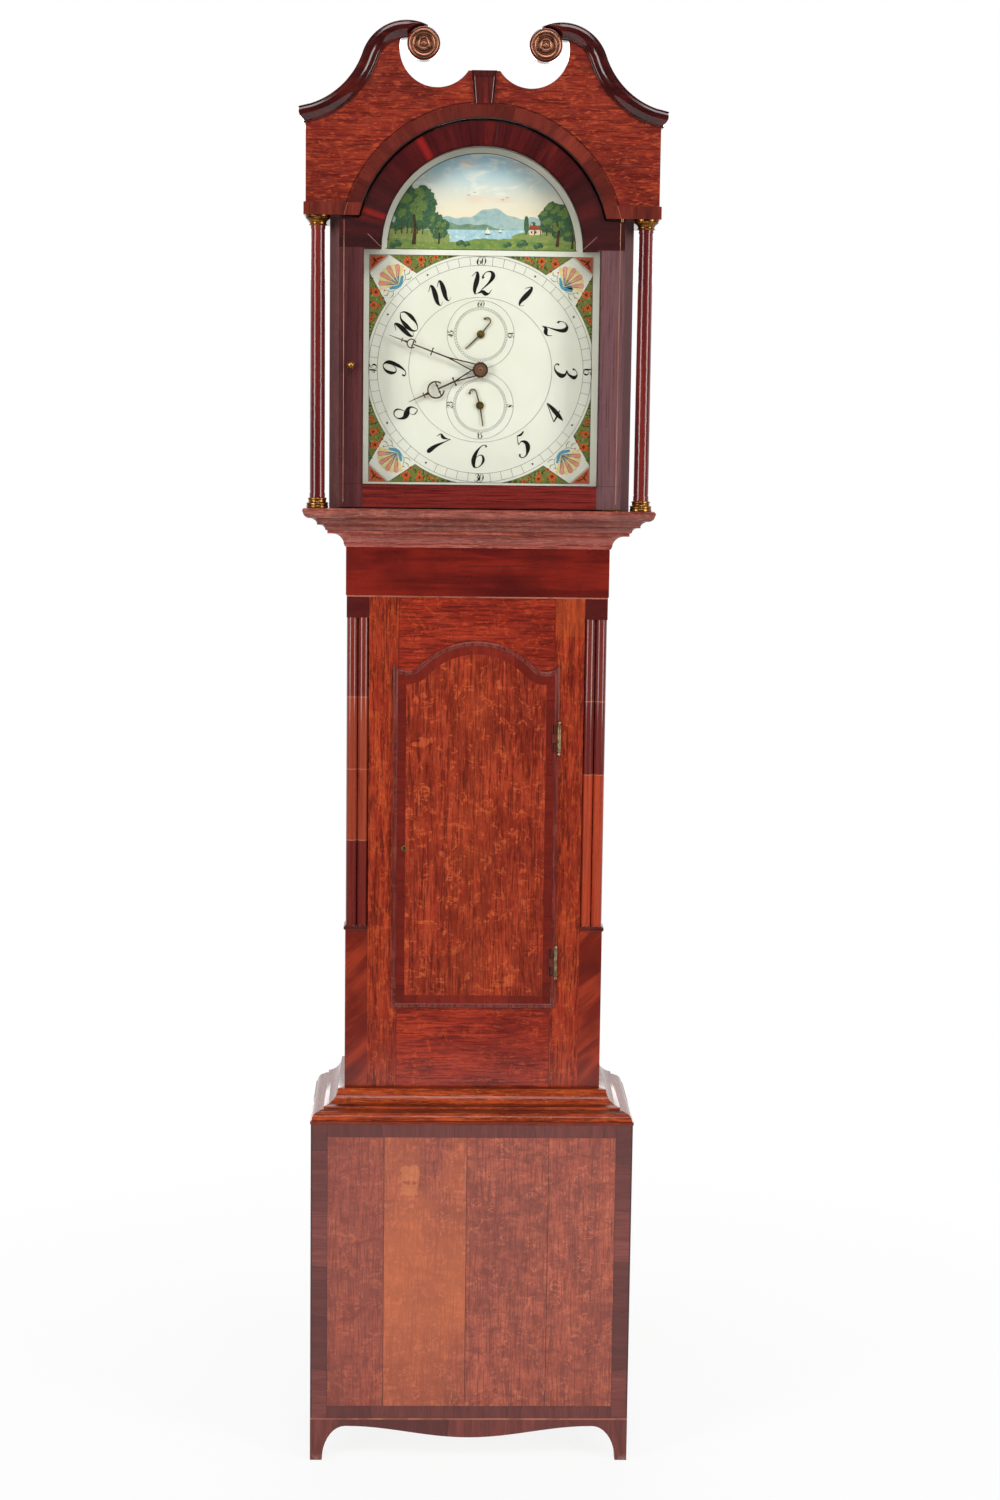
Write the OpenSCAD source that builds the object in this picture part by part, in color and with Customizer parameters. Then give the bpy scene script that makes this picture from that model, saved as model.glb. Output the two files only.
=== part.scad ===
// Longcase clock with an arched dial, swan-neck hood and thirty-hour chain movement.
// X runs to the viewer's right, the front looks towards -Y, Z is up from the floor.
// Depths are measured forward from the back of the case, so a larger depth is nearer the viewer.

/* [Base] */
// Width of the base
base_w = 496; // [420:1:560]
// Depth of the base, back to front
base_d = 235; // [215:1:280]
// Height of the base panel, from the boxwood line to the base moulding
base_h = 472.5; // [380:0.5:560]
// Height of the bracket apron under the base
apron_h = 66; // [56:1:90]
// Height of the curve between the bracket feet
apron_rise = 55.7; // [46:0.1:62]
// Height of the apron at its middle
apron_middle = 37; // [26:1:46]
// Width of a bracket foot at the floor
foot_w = 18.5; // [12:0.5:30]
// Width of the curve that rises from a foot
foot_curve_w = 36.5; // [24:0.5:50]
// Thickness of the base boards
base_board = 18; // [14:0.5:22]
// Width of the crossbanding at the sides of the base
base_band_side = 22; // [14:0.5:32]
// Width of the crossbanding at the top and bottom of the base
base_band_end = 20; // [14:0.5:32]
// Thickness of the crossbanding
band_t = 4; // [2:0.5:6]
// Width of the bead along the front corners of the base
corner_bead = 4; // [2:0.5:6]
// Height of the moulding between base and trunk
base_moulding_h = 47; // [36:1:60]

/* [Trunk] */
// Width of the trunk
trunk_w = 396; // [360:1:420]
// Height of the trunk front, from the base moulding to the frieze line
trunk_h = 761; // [700:1:860]
// Length of the trunk's boards that stands inside the base
trunk_foot = 40; // [30:1:50]
// Thickness of the trunk sides
trunk_side = 16; // [12:0.5:18]
// Thickness of the frame round the trunk door
frame_t = 20; // [16:0.5:22]
// Width of the corner with the clustered columns
corner_w = 34.5; // [28:0.5:40]
// Gap between the reeds of a clustered column
reed_gap = 0.65; // [0.4:0.05:1.5]
// Height of the plain block under a clustered column
lower_block_h = 247; // [160:1:280]
// Height of the small moulding on that block
ledge_h = 7.6; // [5:0.1:12]
// Overhang of the small moulding
ledge_out = 2.5; // [1:0.1:4]
// Height of the block over a clustered column
upper_block_h = 31.7; // [20:0.1:50]
// Height of the mahogany frieze
frieze_h = 73; // [50:1:100]
// Thickness of the facing of the frieze
frieze_skin = 1.3; // [0.8:0.1:2]
// Height of a boxwood line
string_h = 2.4; // [1.6:0.1:3.2]
// Height of the cove moulding under the hood
throat_h = 25.5; // [20:0.5:34]
// Thickness of the backboard
backboard_t = 12; // [8:0.5:14]

/* [Trunk door] */
// Width of the trunk door over its moulded lip
door_w = 253; // [236:1:262]
// Height of the door's bottom edge above the base moulding
door_up = 126; // [80:1:160]
// Height of the door from its bottom edge to its shoulders
door_side_h = 502.5; // [440:0.5:540]
// Radius of the arched top of the door
door_arch_r = 120; // [112:1:130]
// Height of the arch's crown above the shoulders
door_arch_rise = 66.5; // [60:0.5:74]
// Overlap of the lip on the frame
lip_w = 8; // [6:0.5:10]
// Width of the moulding on the lip
lip_moulding = 7; // [5:0.5:7.5]
// Width of the crossbanding of the door
door_band = 12.8; // [8:0.1:20]
// Thickness of the door inside the frame
door_t = 16; // [12:0.5:16]
// Thickness of the banding and field on the door's face
door_face_t = 2.4; // [1.6:0.1:3]
// Height of the lip moulding in front of the frame
lip_h = 4; // [3:0.1:5]
// Gap between the door and its frame
door_gap = 1.3; // [1.2:0.1:2]
// Length of a butt hinge
hinge_l = 41; // [30:1:60]
// Radius of a hinge knuckle
knuckle_r = 3; // [2.6:0.1:3.6]
// Radius of a hinge pin
hinge_pin_r = 1.3; // [1:0.05:1.6]
// Height of the lower hinge above the bottom of the door
hinge_low = 72; // [50:1:110]
// Height of the upper hinge's middle below the shoulders
hinge_high = 81; // [60:1:130]
// Height of the keyhole above the bottom of the door
keyhole_up = 250; // [200:1:300]
// Distance of the keyhole from the edge of the door
keyhole_in = 18.4; // [16:0.1:24]
// Travel of the lock bolt
bolt_travel = 6; // [4:0.5:8]

/* [Hood] */
// Height of the moulded hood base
hood_base_h = 34.5; // [28:0.5:44]
// Overhang of the hood base beyond the trunk
hood_out = 64.5; // [60:0.5:72]
// Thickness of the hood sides
hood_side = 14; // [10:0.5:14]
// Height of a hood column with its capital and base
column_h = 426.5; // [424:0.5:440]
// Radius of a hood column at its foot
column_r = 11.5; // [9:0.25:12.5]
// Distance of the column axes inside the edge of the tympanum
column_in = 17.5; // [15:0.5:20]
// Gap between a column and the hood side
column_clear = 5.5; // [3:0.5:7]
// Height of a brass capital
capital_h = 14.5; // [10:0.5:20]
// Radius of a brass capital
capital_r = 18.5; // [15:0.5:19]
// Height of a brass column base
foot_ring_h = 15.5; // [10:0.5:20]
// Radius of a brass column base
foot_ring_r = 16.2; // [14:0.1:18]
// Distance of the tympanum inside the nose of the hood base
tympanum_in = 4; // [2:0.5:8]
// Thickness of the tympanum board
tympanum_t = 20; // [14:0.5:22]
// Height of the banding along the bottom of the tympanum
frame_band_h = 18.5; // [12:0.5:24]
// Thickness of that banding
frame_band_t = 3; // [1.5:0.1:3.2]
// Inner radius of the arch of the tympanum
arch_r = 186.4; // [186:0.2:188]
// Width of the banding round the arch
arch_band_w = 20.8; // [14:0.2:26]
// Height of the tip of the swan neck above the arch centre
tip_up = 197; // [192:0.5:204]
// Radius of the hollow lower curve of a swan neck
neck_hollow_r = 117; // [112:0.5:122]
// Distance of the centre of that curve outside the tympanum
neck_hollow_out = 28.5; // [24:0.5:34]
// Radius of the round upper curve of a swan neck
neck_round_r = 68; // [64:0.5:72]
// Distance of the centre of that curve from the middle of the clock
neck_round_x = 112; // [108:0.5:116]
// Width of a swan neck
neck_w = 24; // [18:0.5:27]
// Projection of a swan neck
neck_out = 10; // [7:0.5:13]
// Radius of the scalloped cut beside the keystone
scallop_r = 54.7; // [52:0.1:56]
// Distance of the scalloped cut's centre from the middle of the clock
scallop_in = 68.5; // [66:0.5:71]
// Radius of a rosette
rosette_r = 24; // [20:0.5:25]
// Thickness of the roof boards
roof_t = 7; // [5:0.5:8]
// Height of the roof above the arch centre
roof_up = 172; // [166:0.5:176]
// Height of the keystone's top above the arch centre
key_up = 253.5; // [246:0.5:258]
// Width of the keystone at its top
keystone_w = 36.6; // [28:0.2:39]

/* [Hood door] */
// Distance of the door's edges inside the inner faces of the hood sides
hood_door_in = 0.5; // [0:0.5:3]
// Thickness of the hood door
hood_door_t = 20; // [16:0.5:20]
// Width of a stile of the hood door
hood_stile_w = 36; // [34.5:0.5:37.5]
// Height of the opening's sides
sight_h = 342; // [340:0.5:344]
// Radius of the arch of the opening
sight_r = 147.5; // [145:0.5:149]
// Gap between the arch of the door and the tympanum
swing_gap = 2.9; // [2.7:0.1:3.6]
// Thickness of the glass
glass_t = 2.5; // [2:0.1:3.2]
// Radius of a pivot pin
pivot_r = 2.2; // [1.6:0.1:2.4]

/* [Dial and hands] */
// Room for the hands between the dial and the hood door
hand_room = 29.5; // [27:0.5:32]
// Width of the painted dial
dial_w = 355.6; // [352:0.2:358]
// Thickness of the dial sheet
dial_t = 2; // [1.4:0.1:2.6]
// Radius of the arch of the dial
dial_arch_r = 153; // [150:0.5:156]
// Length of the minute hand from its centre
minute_l = 145; // [130:1:150]
// Length of the hour hand from its centre
hour_l = 117.5; // [104:0.5:122]
// Length of the seconds and calendar hands
small_hand_l = 31; // [24:1:34]
// Thickness of a hand
hand_t = 1; // [0.8:0.1:1.3]

/* [Movement] */
// Space between the movement plates
plate_gap = 60; // [58:1:60]
// Thickness of a plate
plate_t = 3; // [2.5:0.1:3]
// Width of a plate
plate_w = 140; // [134:1:150]
// Radius of an arbor
arbor_r = 2; // [1.6:0.1:2.2]
// Radius of a pivot
pivot_pin_r = 1.2; // [1:0.05:1.4]
// Running clearance of a pivot in its hole
pivot_play = 0.06; // [0.04:0.01:0.1]
// Thickness of a wheel
wheel_t = 2; // [1.6:0.1:2.4]
// Radius of the chain wheels at the chain's middle line
chain_r = 22; // [21:0.5:23]
// Radius of the chain
chain_wire = 2; // [1.5:0.1:2.2]
// Room for the rod's swing on each side, in the seatboard
swing_room = 62; // [50:1:70]
// Thickness of the seatboard
seatboard_t = 20; // [14:1:24]

/* [Pendulum and weight] */
// Length of the pendulum from its pivot to the middle of the bob
pendulum_l = 994; // [900:1:1000]
// Radius of the pendulum bob
bob_r = 57; // [45:1:62]
// Thickness of the pendulum bob
bob_t = 26; // [18:1:28]
// Radius of the pendulum rod
rod_r = 2.5; // [2:0.1:3]
// Radius of the driving weight
weight_r = 28; // [20:0.5:30]
// Height of the driving weight
weight_h = 180; // [140:1:200]
// Height of the bottom of the weight above the floor, half wound
weight_z = 1060; // [1040:1:1080]
// Height of the middle of the counter ring above the floor, half wound
ring_z = 424; // [410:1:440]
// Radius of the counter ring to the middle of its bar
ring_r = 32; // [31:0.5:34]

/* [Hidden] */

// small working gaps
touch_gap = 0.3;
slide_gap = 2;
seat_gap = 0.3;

// heights of the case
z_base = apron_h + string_h;
z_base_top = z_base + base_h;
z_trunk = z_base_top + base_moulding_h;
z_ledge = z_trunk + lower_block_h;
z_reeds = z_ledge + ledge_h;
z_line = z_trunk + trunk_h;
z_reeds_top = z_line - upper_block_h;
z_frieze = z_line + string_h;
z_throat = z_frieze + frieze_h;
z_hood = z_throat + throat_h;
z_floor = z_hood + hood_base_h;
z_tymp = z_floor + column_h;
z_band = z_tymp + frame_band_h;

// heights of the dial, set out from the hood base
sight_up = 36.5;
z_sight = z_floor + sight_up;
z_square = z_sight + sight_h;
z_arch = z_square + 2.5;
z_dial = z_square - 172.5;
z_tip = z_arch + tip_up;

// half widths, from the middle of the clock
half_base = base_w / 2;
half_trunk = trunk_w / 2;
half_tymp = half_trunk + hood_out - tympanum_in;
column_x = half_tymp - column_in;
half_hood = column_x - column_r - column_clear;
hood_inner = half_hood - hood_side;
hood_door_w = 2 * (hood_inner - hood_door_in);
sight_w = hood_door_w - 2 * hood_stile_w;
stile_in = door_w / 2 - lip_w;
corner_in = half_trunk - corner_w;

// depths of the case; the trunk stands back from the base as far in front as at the sides
base_out = half_base - half_trunk + 1;
trunk_d = base_d - base_out;
trunk_back = trunk_d - frame_t;
door_face = trunk_d + touch_gap + door_face_t + 0.4;
hood_d = trunk_d + hood_out;
tymp_d = hood_d - tympanum_in;
column_d = tymp_d - column_in;
tymp_back = tymp_d - tympanum_t;
hood_door_d = tymp_d - 5;
hood_door_back = hood_door_d - hood_door_t;
mask_d = hood_door_back - 4.5;
dial_d = hood_door_back - hand_room;
mask_back = dial_d + 1.5;
rosette_front = tymp_d + 16.5;
back_y = rosette_front / 2;

// depths of the movement
plate_front = dial_d - dial_t - 28;
plate_rear = plate_front - plate_t - plate_gap - plate_t;
chain_d = plate_front - plate_t - plate_gap / 2;
pendulum_d = plate_rear - 20;

// wheel trains: teeth, modules and places, from the middle of the dial
great_teeth = 72;
great_m = 0.9;
centre_leaves = 12;
centre_teeth = 64;
centre_m = 0.9;
third_leaves = 8;
third_teeth = 60;
third_m = 0.8;
escape_leaves = 8;
escape_teeth = 30;
escape_r = 22;
motion_teeth = 36;
motion_m = 1;
minute_leaves = 6;
hour_teeth = 72;
hour_m = 2 * motion_m * motion_teeth / (minute_leaves + hour_teeth);
hoop_leaves = 8;
hoop_teeth = 56;
hoop_m = 0.8;
warning_leaves = 8;
warning_teeth = 48;
warning_m = 0.7;
fly_leaves = 7;
calendar_teeth = 31;
calendar_r = 20;
seconds_up = 52.5;
going_x = 34;
going_dist = great_m * (great_teeth + centre_leaves) / 2;
great_z = -sqrt(going_dist * going_dist - going_x * going_x);
third_dist = centre_m * (centre_teeth + third_leaves) / 2;
escape_dist = third_m * (third_teeth + escape_leaves) / 2;
third_up = (third_dist * third_dist - escape_dist * escape_dist + seconds_up * seconds_up)
    / (2 * seconds_up);
third_right = sqrt(third_dist * third_dist - third_up * third_up);
pallet_up = seconds_up + escape_r * sqrt(2);
hoop_up = great_z + great_m * (great_teeth + hoop_leaves) / 2;
warning_dist = hoop_m * (hoop_teeth + warning_leaves) / 2;
warning_turn = 80;
fly_dist = warning_m * (warning_teeth + fly_leaves) / 2;
fly_turn = 135;
warning_x = -going_x + warning_dist * cos(warning_turn);
warning_up = hoop_up + warning_dist * sin(warning_turn);
fly_x = warning_x + fly_dist * cos(fly_turn);
fly_up = warning_up + fly_dist * sin(fly_turn);
minute_x = -motion_m * motion_teeth;
plate_low = great_z - great_m * (great_teeth / 2 + 1) - 2.6;
plate_high = pallet_up + 20;
z_seat = z_dial + plate_low;
z_cheek = z_seat - seatboard_t;
z_pivot = z_dial + pallet_up;

// depth of each wheel's middle
going_d = chain_d - 14;
centre_d = chain_d - 26;
third_d = chain_d - 20;
escape_d = chain_d - 9;
strike_d = chain_d + 10;
hoop_d = chain_d + 5.5;
warning_d = chain_d + 15;
motion_d = plate_front + 11;
hour_d = plate_front + 16;
calendar_d = plate_front + 22;
seconds_hand_d = dial_d + 3;
hour_hand_d = dial_d + 6.5;
minute_hand_d = dial_d + 11;

// the small forms of each piece
bob_z = z_pivot - pendulum_l;
hinge_x = door_w / 2 + 0.5;
hinge_d = trunk_d + knuckle_r + 0.5;
z_door = z_trunk + door_up;
z_shoulder = z_door + door_side_h;
z_crown = z_shoulder + door_arch_rise;
lock_w = 40;
lock_h = 50;
lock_t = 12;
lock_edge = 7;
pin_circle = great_m * (great_teeth / 2 - 1.35) - 1.5;
bell_d = chain_d + 9;
hammer_x = -plate_w / 2 + 9;
hammer_up = great_z + 37;
bell_r = 46;
bell_up = plate_high + 14;
hammer_l = bell_up + 4 - hammer_up;

function depth(d) = back_y - d;
function arc(c, r, a0, a1, n) = [for (i = [0:n]) let (a = a0 + (a1 - a0) * i / n) c + r * [cos(a), sin(a)]];
function flip(points) = [for (i = [len(points) - 1:-1:0]) [-points[i][0], points[i][1]]];

// A sheet cut to an outline in X and Z, with its front face at a depth
module sheet(front, thick) {
    translate([0, depth(front - thick), 0]) rotate([90, 0, 0]) linear_extrude(thick) children();
}

// A box from left to right, from depth to depth, from height to height
module block(x, d, z) {
    translate([x[0], depth(d[1]), z[0]]) cube([x[1] - x[0], d[1] - d[0], z[1] - z[0]]);
}

module both_sides() {
    children();
    mirror([1, 0, 0]) children();
}

// A rod along the depth of the clock, at a place measured from the middle of the dial
module arbor(x, up, r, from, to) {
    translate([x, depth(from), z_dial + up]) rotate([90, 0, 0]) cylinder(r = r, h = to - from, $fn = 40);
}

// Three lengths of moulding mitred round a box of the given half width and depth.
// The profile's first value is the distance out from the face, its second the height.
module mitred(half, front, back, inner, outer, profile, z) {
    low = min([for (p = profile) p[1]]) - 1;
    tall = max([for (p = profile) p[1]]) - low + 1;
    bottom = profile[0][1];
    top = profile[len(profile) - 1][1];
    right = [for (p = profile) [half + p[0], p[1]]];
    difference() {
        intersection() {
            translate([-half - outer - 1, depth(front), z]) rotate([90, 0, 90])
                linear_extrude(2 * (half + outer + 1)) polygon(concat([for (p = profile) [-p[0], p[1]]],
                    [[front - back, top], [front - back, bottom]]));
            translate([0, depth(back), z]) rotate([90, 0, 0])
                linear_extrude(front - back + outer + 1) polygon(concat(right, flip(right)));
        }
        translate([-half - inner, depth(front + inner), z + low])
            cube([2 * (half + inner), front + inner - back + 1, tall]);
    }
}

// Wheel with slim pointed teeth and crossed-out spokes, flat in XY, its first tooth on +X
module wheel_outline(teeth, m, spokes, hub, rim) {
    pitch_r = teeth * m / 2;
    tip_r = pitch_r + 0.75 * m;
    root_r = pitch_r - 1.35 * m;
    step = 360 / teeth;
    difference() {
        polygon([for (i = [0:teeth - 1]) for (q = [[-0.3, root_r], [-0.2, pitch_r], [-0.07, tip_r],
            [0.07, tip_r], [0.2, pitch_r], [0.3, root_r]])
            q[1] * [cos((i + q[0]) * step), sin((i + q[0]) * step)]]);
        if (spokes > 0) difference() {
            circle(r = root_r - rim, $fn = 96);
            circle(r = hub, $fn = 48);
            for (i = [0:spokes - 1]) rotate(i * 360 / spokes)
                translate([0, -rim / 2]) square([root_r, rim]);
        }
    }
}

// A wheel or pinion in its place, turned so that its first tooth points the given way
module wheel(x, up, d, teeth, m, thick, turn = 0, spokes = 4, hub = 6, rim = 2.6) {
    translate([x, depth(d - thick / 2), z_dial + up]) rotate([90, 0, 0]) linear_extrude(thick)
        rotate(turn) wheel_outline(teeth, m, spokes, hub, rim);
}

module pinion(x, up, from, to, leaves, m, turn = 0) {
    translate([x, depth(from), z_dial + up]) rotate([90, 0, 0]) linear_extrude(to - from)
        rotate(turn) wheel_outline(leaves, m, 0, 0, 0);
}

// The arbor of a wheel between the plates, with its two pivots
module plate_arbor(x, up, r = arbor_r) {
    arbor(x, up, r, plate_rear + plate_t + 0.5, plate_front - plate_t - 0.5);
    arbor(x, up, pivot_pin_r, plate_rear - 0.5, plate_front + 0.5);
}

// Outline of the trunk door, drawn in from its edge by a distance.
// The round crown meets a hollow curve on each side, which runs out to the shoulder.
crown_z = z_crown - door_arch_r;
hollow_dir = 137;
hollow_x0 = door_w / 2 + door_arch_r * cos(hollow_dir);
hollow_z0 = z_shoulder - crown_z - door_arch_r * sin(hollow_dir);
hollow_r = -(hollow_x0 * hollow_x0 + hollow_z0 * hollow_z0)
    / (2 * (hollow_x0 * cos(hollow_dir) + hollow_z0 * sin(hollow_dir)));
dip_x = -(door_arch_r + hollow_r) * cos(hollow_dir);
dip_z = crown_z + (door_arch_r + hollow_r) * sin(hollow_dir) - hollow_r;
function door_outline(in) = let (
    hx = (door_arch_r + hollow_r) * cos(hollow_dir),
    hz = crown_z + (door_arch_r + hollow_r) * sin(hollow_dir),
    edge = door_w / 2 - in,
    start = acos((-edge - hx) / (hollow_r + in)),
    left = concat([[-edge, z_door + in]], arc([hx, hz], hollow_r + in, -start, hollow_dir - 180, 8),
        [for (i = [1:12]) [0, crown_z] + (door_arch_r - in)
            * [cos(hollow_dir + (90 - hollow_dir) * i / 12), sin(hollow_dir + (90 - hollow_dir) * i / 12)]]))
    concat(left, [for (i = [len(left) - 2:-1:0]) [-left[i][0], left[i][1]]]);

// Height of the apron's lower edge at a distance from the middle of a board
function apron_low(x, half) = let (flat = half - foot_w - foot_curve_w)
    x < flat ? apron_middle + (apron_rise - apron_middle) * (1 - cos(180 * x / flat)) / 2
    : apron_rise * sqrt(max(0, 1 - pow((x - flat) / foot_curve_w, 2)));
function apron_half(half) = concat([for (i = [0:12]) let (x = (half - foot_w - foot_curve_w) * i / 12)
    [x, apron_low(x, half)]], [for (a = [80:-10:0]) [half - foot_w - foot_curve_w * (1 - cos(a)),
    apron_rise * sin(a)]], [[half, 0], [half, apron_h]]);
module apron_outline(half) {
    right = apron_half(half);
    polygon(concat(flip([for (i = [1:len(right) - 1]) right[i]]), right));
}

// Outline that the hood door, its glass and the dial mask share: straight sides under an arch
module arched(half, low, shoulder, r) {
    translate([-half, low]) square([2 * half, shoulder - low]);
    intersection() {
        translate([0, z_arch]) circle(r = r, $fn = 180);
        translate([-r, shoulder - 1]) square([2 * r, 2 * r]);
    }
}

// Case: base
module pine_carcass() {
    color("burlywood") {
        sheet(backboard_t, backboard_t) polygon([
            [-half_base + base_board, z_base], [half_base - base_board, z_base],
            [half_base - base_board, z_base_top - trunk_foot],
            [half_trunk - trunk_side, z_base_top - trunk_foot],
            [half_trunk - trunk_side, z_cheek], [hood_inner - slide_gap, z_cheek],
            [hood_inner - slide_gap, z_arch + 158], [-hood_inner + slide_gap, z_arch + 158],
            [-hood_inner + slide_gap, z_cheek], [-half_trunk + trunk_side, z_cheek],
            [-half_trunk + trunk_side, z_base_top - trunk_foot],
            [-half_base + base_board, z_base_top - trunk_foot]]);
        block([-half_base + base_board, half_base - base_board], [backboard_t, base_d - base_board],
            [z_base + 4, z_base + 16]);
        both_sides() block([half_trunk, half_base - base_board], [0, trunk_d - corner_w],
            [z_base_top - trunk_foot, z_base_top]);
        block([-half_trunk, half_trunk], [trunk_d, base_d - base_board],
            [z_base_top - trunk_foot, z_base_top]);
        both_sides() block([half_base - base_board - 14, half_base - base_board],
            [base_d - base_board - 14, base_d - base_board], [apron_h - 26, z_base + 4]);
        block([-half_trunk, half_trunk], [trunk_back, trunk_d], [z_throat, z_hood]);
    }
}

module base_sides() {
    color("sienna") both_sides() block([half_base - base_board, half_base], [0, base_d - base_board],
        [z_base, z_base_top]);
}

// Four upright boards with a raised field that the crossbanding frames
module base_front() {
    joints = [-half_base, -135, -7.5, 118.5, half_base];
    field = half_base - corner_bead - base_band_side;
    color("chocolate") for (i = [0:3]) {
        block([joints[i], joints[i + 1]], [base_d - base_board, base_d - band_t], [z_base, z_base_top]);
        block([max(joints[i], -field), min(joints[i + 1], field)], [base_d - band_t - 0.5, base_d],
            [z_base + base_band_end, z_base_top - base_band_end]);
    }
}

module base_crossbanding() {
    inner = half_base - corner_bead - base_band_side;
    edge = half_base - corner_bead;
    color("maroon") {
        both_sides() block([inner, edge], [base_d - band_t, base_d], [z_base, z_base_top]);
        for (z = [z_base, z_base_top - base_band_end])
            block([-inner, inner], [base_d - band_t, base_d], [z, z + base_band_end]);
        both_sides() translate([edge, depth(base_d - band_t), z_base]) intersection() {
            translate([0, -band_t, 0]) cube([corner_bead, band_t, base_h]);
            cylinder(r = corner_bead * 1.25, h = base_h, $fn = 40);
        }
    }
}

module boxwood_stringing() {
    color("khaki") {
        block([-half_base, half_base], [base_d - 8, base_d + touch_gap], [apron_h, z_base]);
        block([-half_trunk, half_trunk], [trunk_back, trunk_d + touch_gap], [z_line, z_frieze]);
    }
}

module bracket_apron() {
    color("maroon") {
        sheet(base_d, base_board) apron_outline(half_base);
        both_sides() intersection() {
            translate([half_base - base_board, depth(base_d / 2), 0]) rotate([90, 0, 90])
                linear_extrude(base_board) apron_outline(base_d / 2);
            block([half_base - base_board, half_base], [0, base_d - base_board - touch_gap], [0, apron_h]);
        }
    }
}

// Cove over an ogee, between the base and the trunk
module base_moulding() {
    wide = base_out / 51;
    tall = base_moulding_h / 47;
    profile = concat([[0, 0], [51, 0], [51, 5], [49, 5.5]], arc([37, 5.5], 12, 8, 82, 6),
        [[35, 19], [31, 19], [31, 23]], arc([33, 46], 23, 265, 182, 8), [[10, 46], [0, 47]]);
    color("sienna") mitred(half_trunk, trunk_d, 0, 0, base_out,
        [for (p = profile) [p[0] * wide, p[1] * tall]], z_base_top);
}

// Case: trunk. The sides run up behind the hood as the cheeks that carry the seatboard.
module trunk_sides() {
    color("sienna") both_sides() block([half_trunk - trunk_side, half_trunk], [0, trunk_d - corner_w],
        [z_base_top - trunk_foot, z_cheek]);
}

module hinge_recess(extra) {
    for (z = hinge_heights()) translate([0, 0, z - hinge_l / 2 - extra]) linear_extrude(hinge_l + 2 * extra)
        children();
}
function hinge_heights() = [z_door + hinge_low, z_shoulder - hinge_high];

module trunk_front_frame() {
    color("peru") difference() {
        sheet(trunk_d, frame_t) difference() {
            translate([-corner_in, z_base_top - trunk_foot])
                square([2 * corner_in, z_line - z_base_top + trunk_foot]);
            polygon(door_outline(lip_w));
        }
        hinge_recess(0.2) translate([stile_in - 1, depth(trunk_d) - 1]) square([leaf_t + 1, frame_t - 4]);
    }
}

// Three reeds round each front corner, in front of a square post
module corner_columns() {
    reed_r = corner_w / 4 - reed_gap / 2;
    near = corner_in + corner_w / 4;
    far = half_trunk - corner_w / 4;
    post = corner_w / 2 + 3.2;
    color("firebrick") both_sides() translate([0, 0, z_reeds]) {
        height = z_reeds_top - z_reeds;
        translate([corner_in, depth(trunk_d - corner_w + post), 0]) cube([post, post, height]);
        for (p = [[near, trunk_d - corner_w / 4], [far, trunk_d - corner_w / 4],
            [far, trunk_d - corner_w * 3 / 4]])
            translate([p[0], depth(p[1]), 0]) cylinder(r = reed_r, h = height, $fn = 48);
    }
}

module corner_blocks() {
    color("brown") both_sides() {
        block([corner_in, half_trunk], [trunk_d - corner_w, trunk_d], [z_base_top - trunk_foot, z_ledge]);
        block([corner_in, half_trunk + ledge_out], [trunk_d - corner_w, trunk_d + ledge_out],
            [z_ledge + 1.6, z_reeds - 1.6]);
        block([corner_in, half_trunk + ledge_out / 2], [trunk_d - corner_w, trunk_d + ledge_out / 2],
            [z_ledge, z_reeds]);
        block([corner_in, half_trunk], [trunk_d - corner_w, trunk_d], [z_reeds_top, z_line]);
    }
}

module frieze() {
    color("darkred") {
        block([-half_trunk - frieze_skin, half_trunk + frieze_skin], [trunk_back, trunk_d + frieze_skin],
            [z_frieze, z_throat]);
        both_sides() block([corner_in, half_trunk + frieze_skin], [trunk_d - corner_w, trunk_back],
            [z_frieze, z_throat]);
        both_sides() block([half_trunk, half_trunk + frieze_skin], [0, trunk_d - corner_w],
            [z_frieze, z_throat]);
    }
}

// Hollow moulding that spreads the trunk out to carry the hood
module throat_moulding() {
    out = 28.5;
    color("sienna") mitred(half_trunk, trunk_d, 0, 0, out, concat([[0, 0], [3, 0], [3.6, 2.6]],
        arc([out - 6.5, 3], throat_h - 8, 178, 96, 8),
        [[out, throat_h - 4.4], [out, throat_h], [0, throat_h]]),
        z_throat);
}

module seatboard() {
    slot_x = going_x + chain_r;
    color("tan") difference() {
        block([-half_trunk, half_trunk], [backboard_t, plate_front], [z_seat - seatboard_t, z_seat]);
        block([-rod_r - swing_room, rod_r + swing_room], [pendulum_d - 10, pendulum_d + 14],
            [z_seat - seatboard_t - 1, z_seat + 1]);
        for (x = [-slot_x, 0, slot_x]) block([x - 18, x + 18], [chain_d - 8, chain_d + 8],
            [z_seat - seatboard_t - 1, z_seat + 1]);
    }
}

// Trunk door and its fittings
leaf_t = 1.4;
pin_play = 0.05;
module knuckle(z, h, bore) {
    translate([hinge_x, depth(hinge_d), z]) difference() {
        cylinder(r = knuckle_r, h = h, $fn = 48);
        if (bore > 0) translate([0, 0, -1]) cylinder(r = bore, h = h + 2, $fn = 48);
    }
}

module frame_hinge_leaves() {
    third = hinge_l / 3;
    color("goldenrod") for (z = hinge_heights()) {
        block([stile_in, stile_in + leaf_t], [trunk_back + 5, trunk_d + 1],
            [z - hinge_l / 2, z + hinge_l / 2]);
        for (s = [z - hinge_l / 2, z + third / 2]) {
            block([stile_in, hinge_x], [trunk_d + touch_gap, trunk_d + touch_gap + leaf_t], [s, s + third]);
            knuckle(s, third, 0);
        }
        translate([hinge_x, depth(hinge_d), z - third]) cylinder(r = hinge_pin_r, h = 2 * third, $fn = 40);
    }
}

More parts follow.
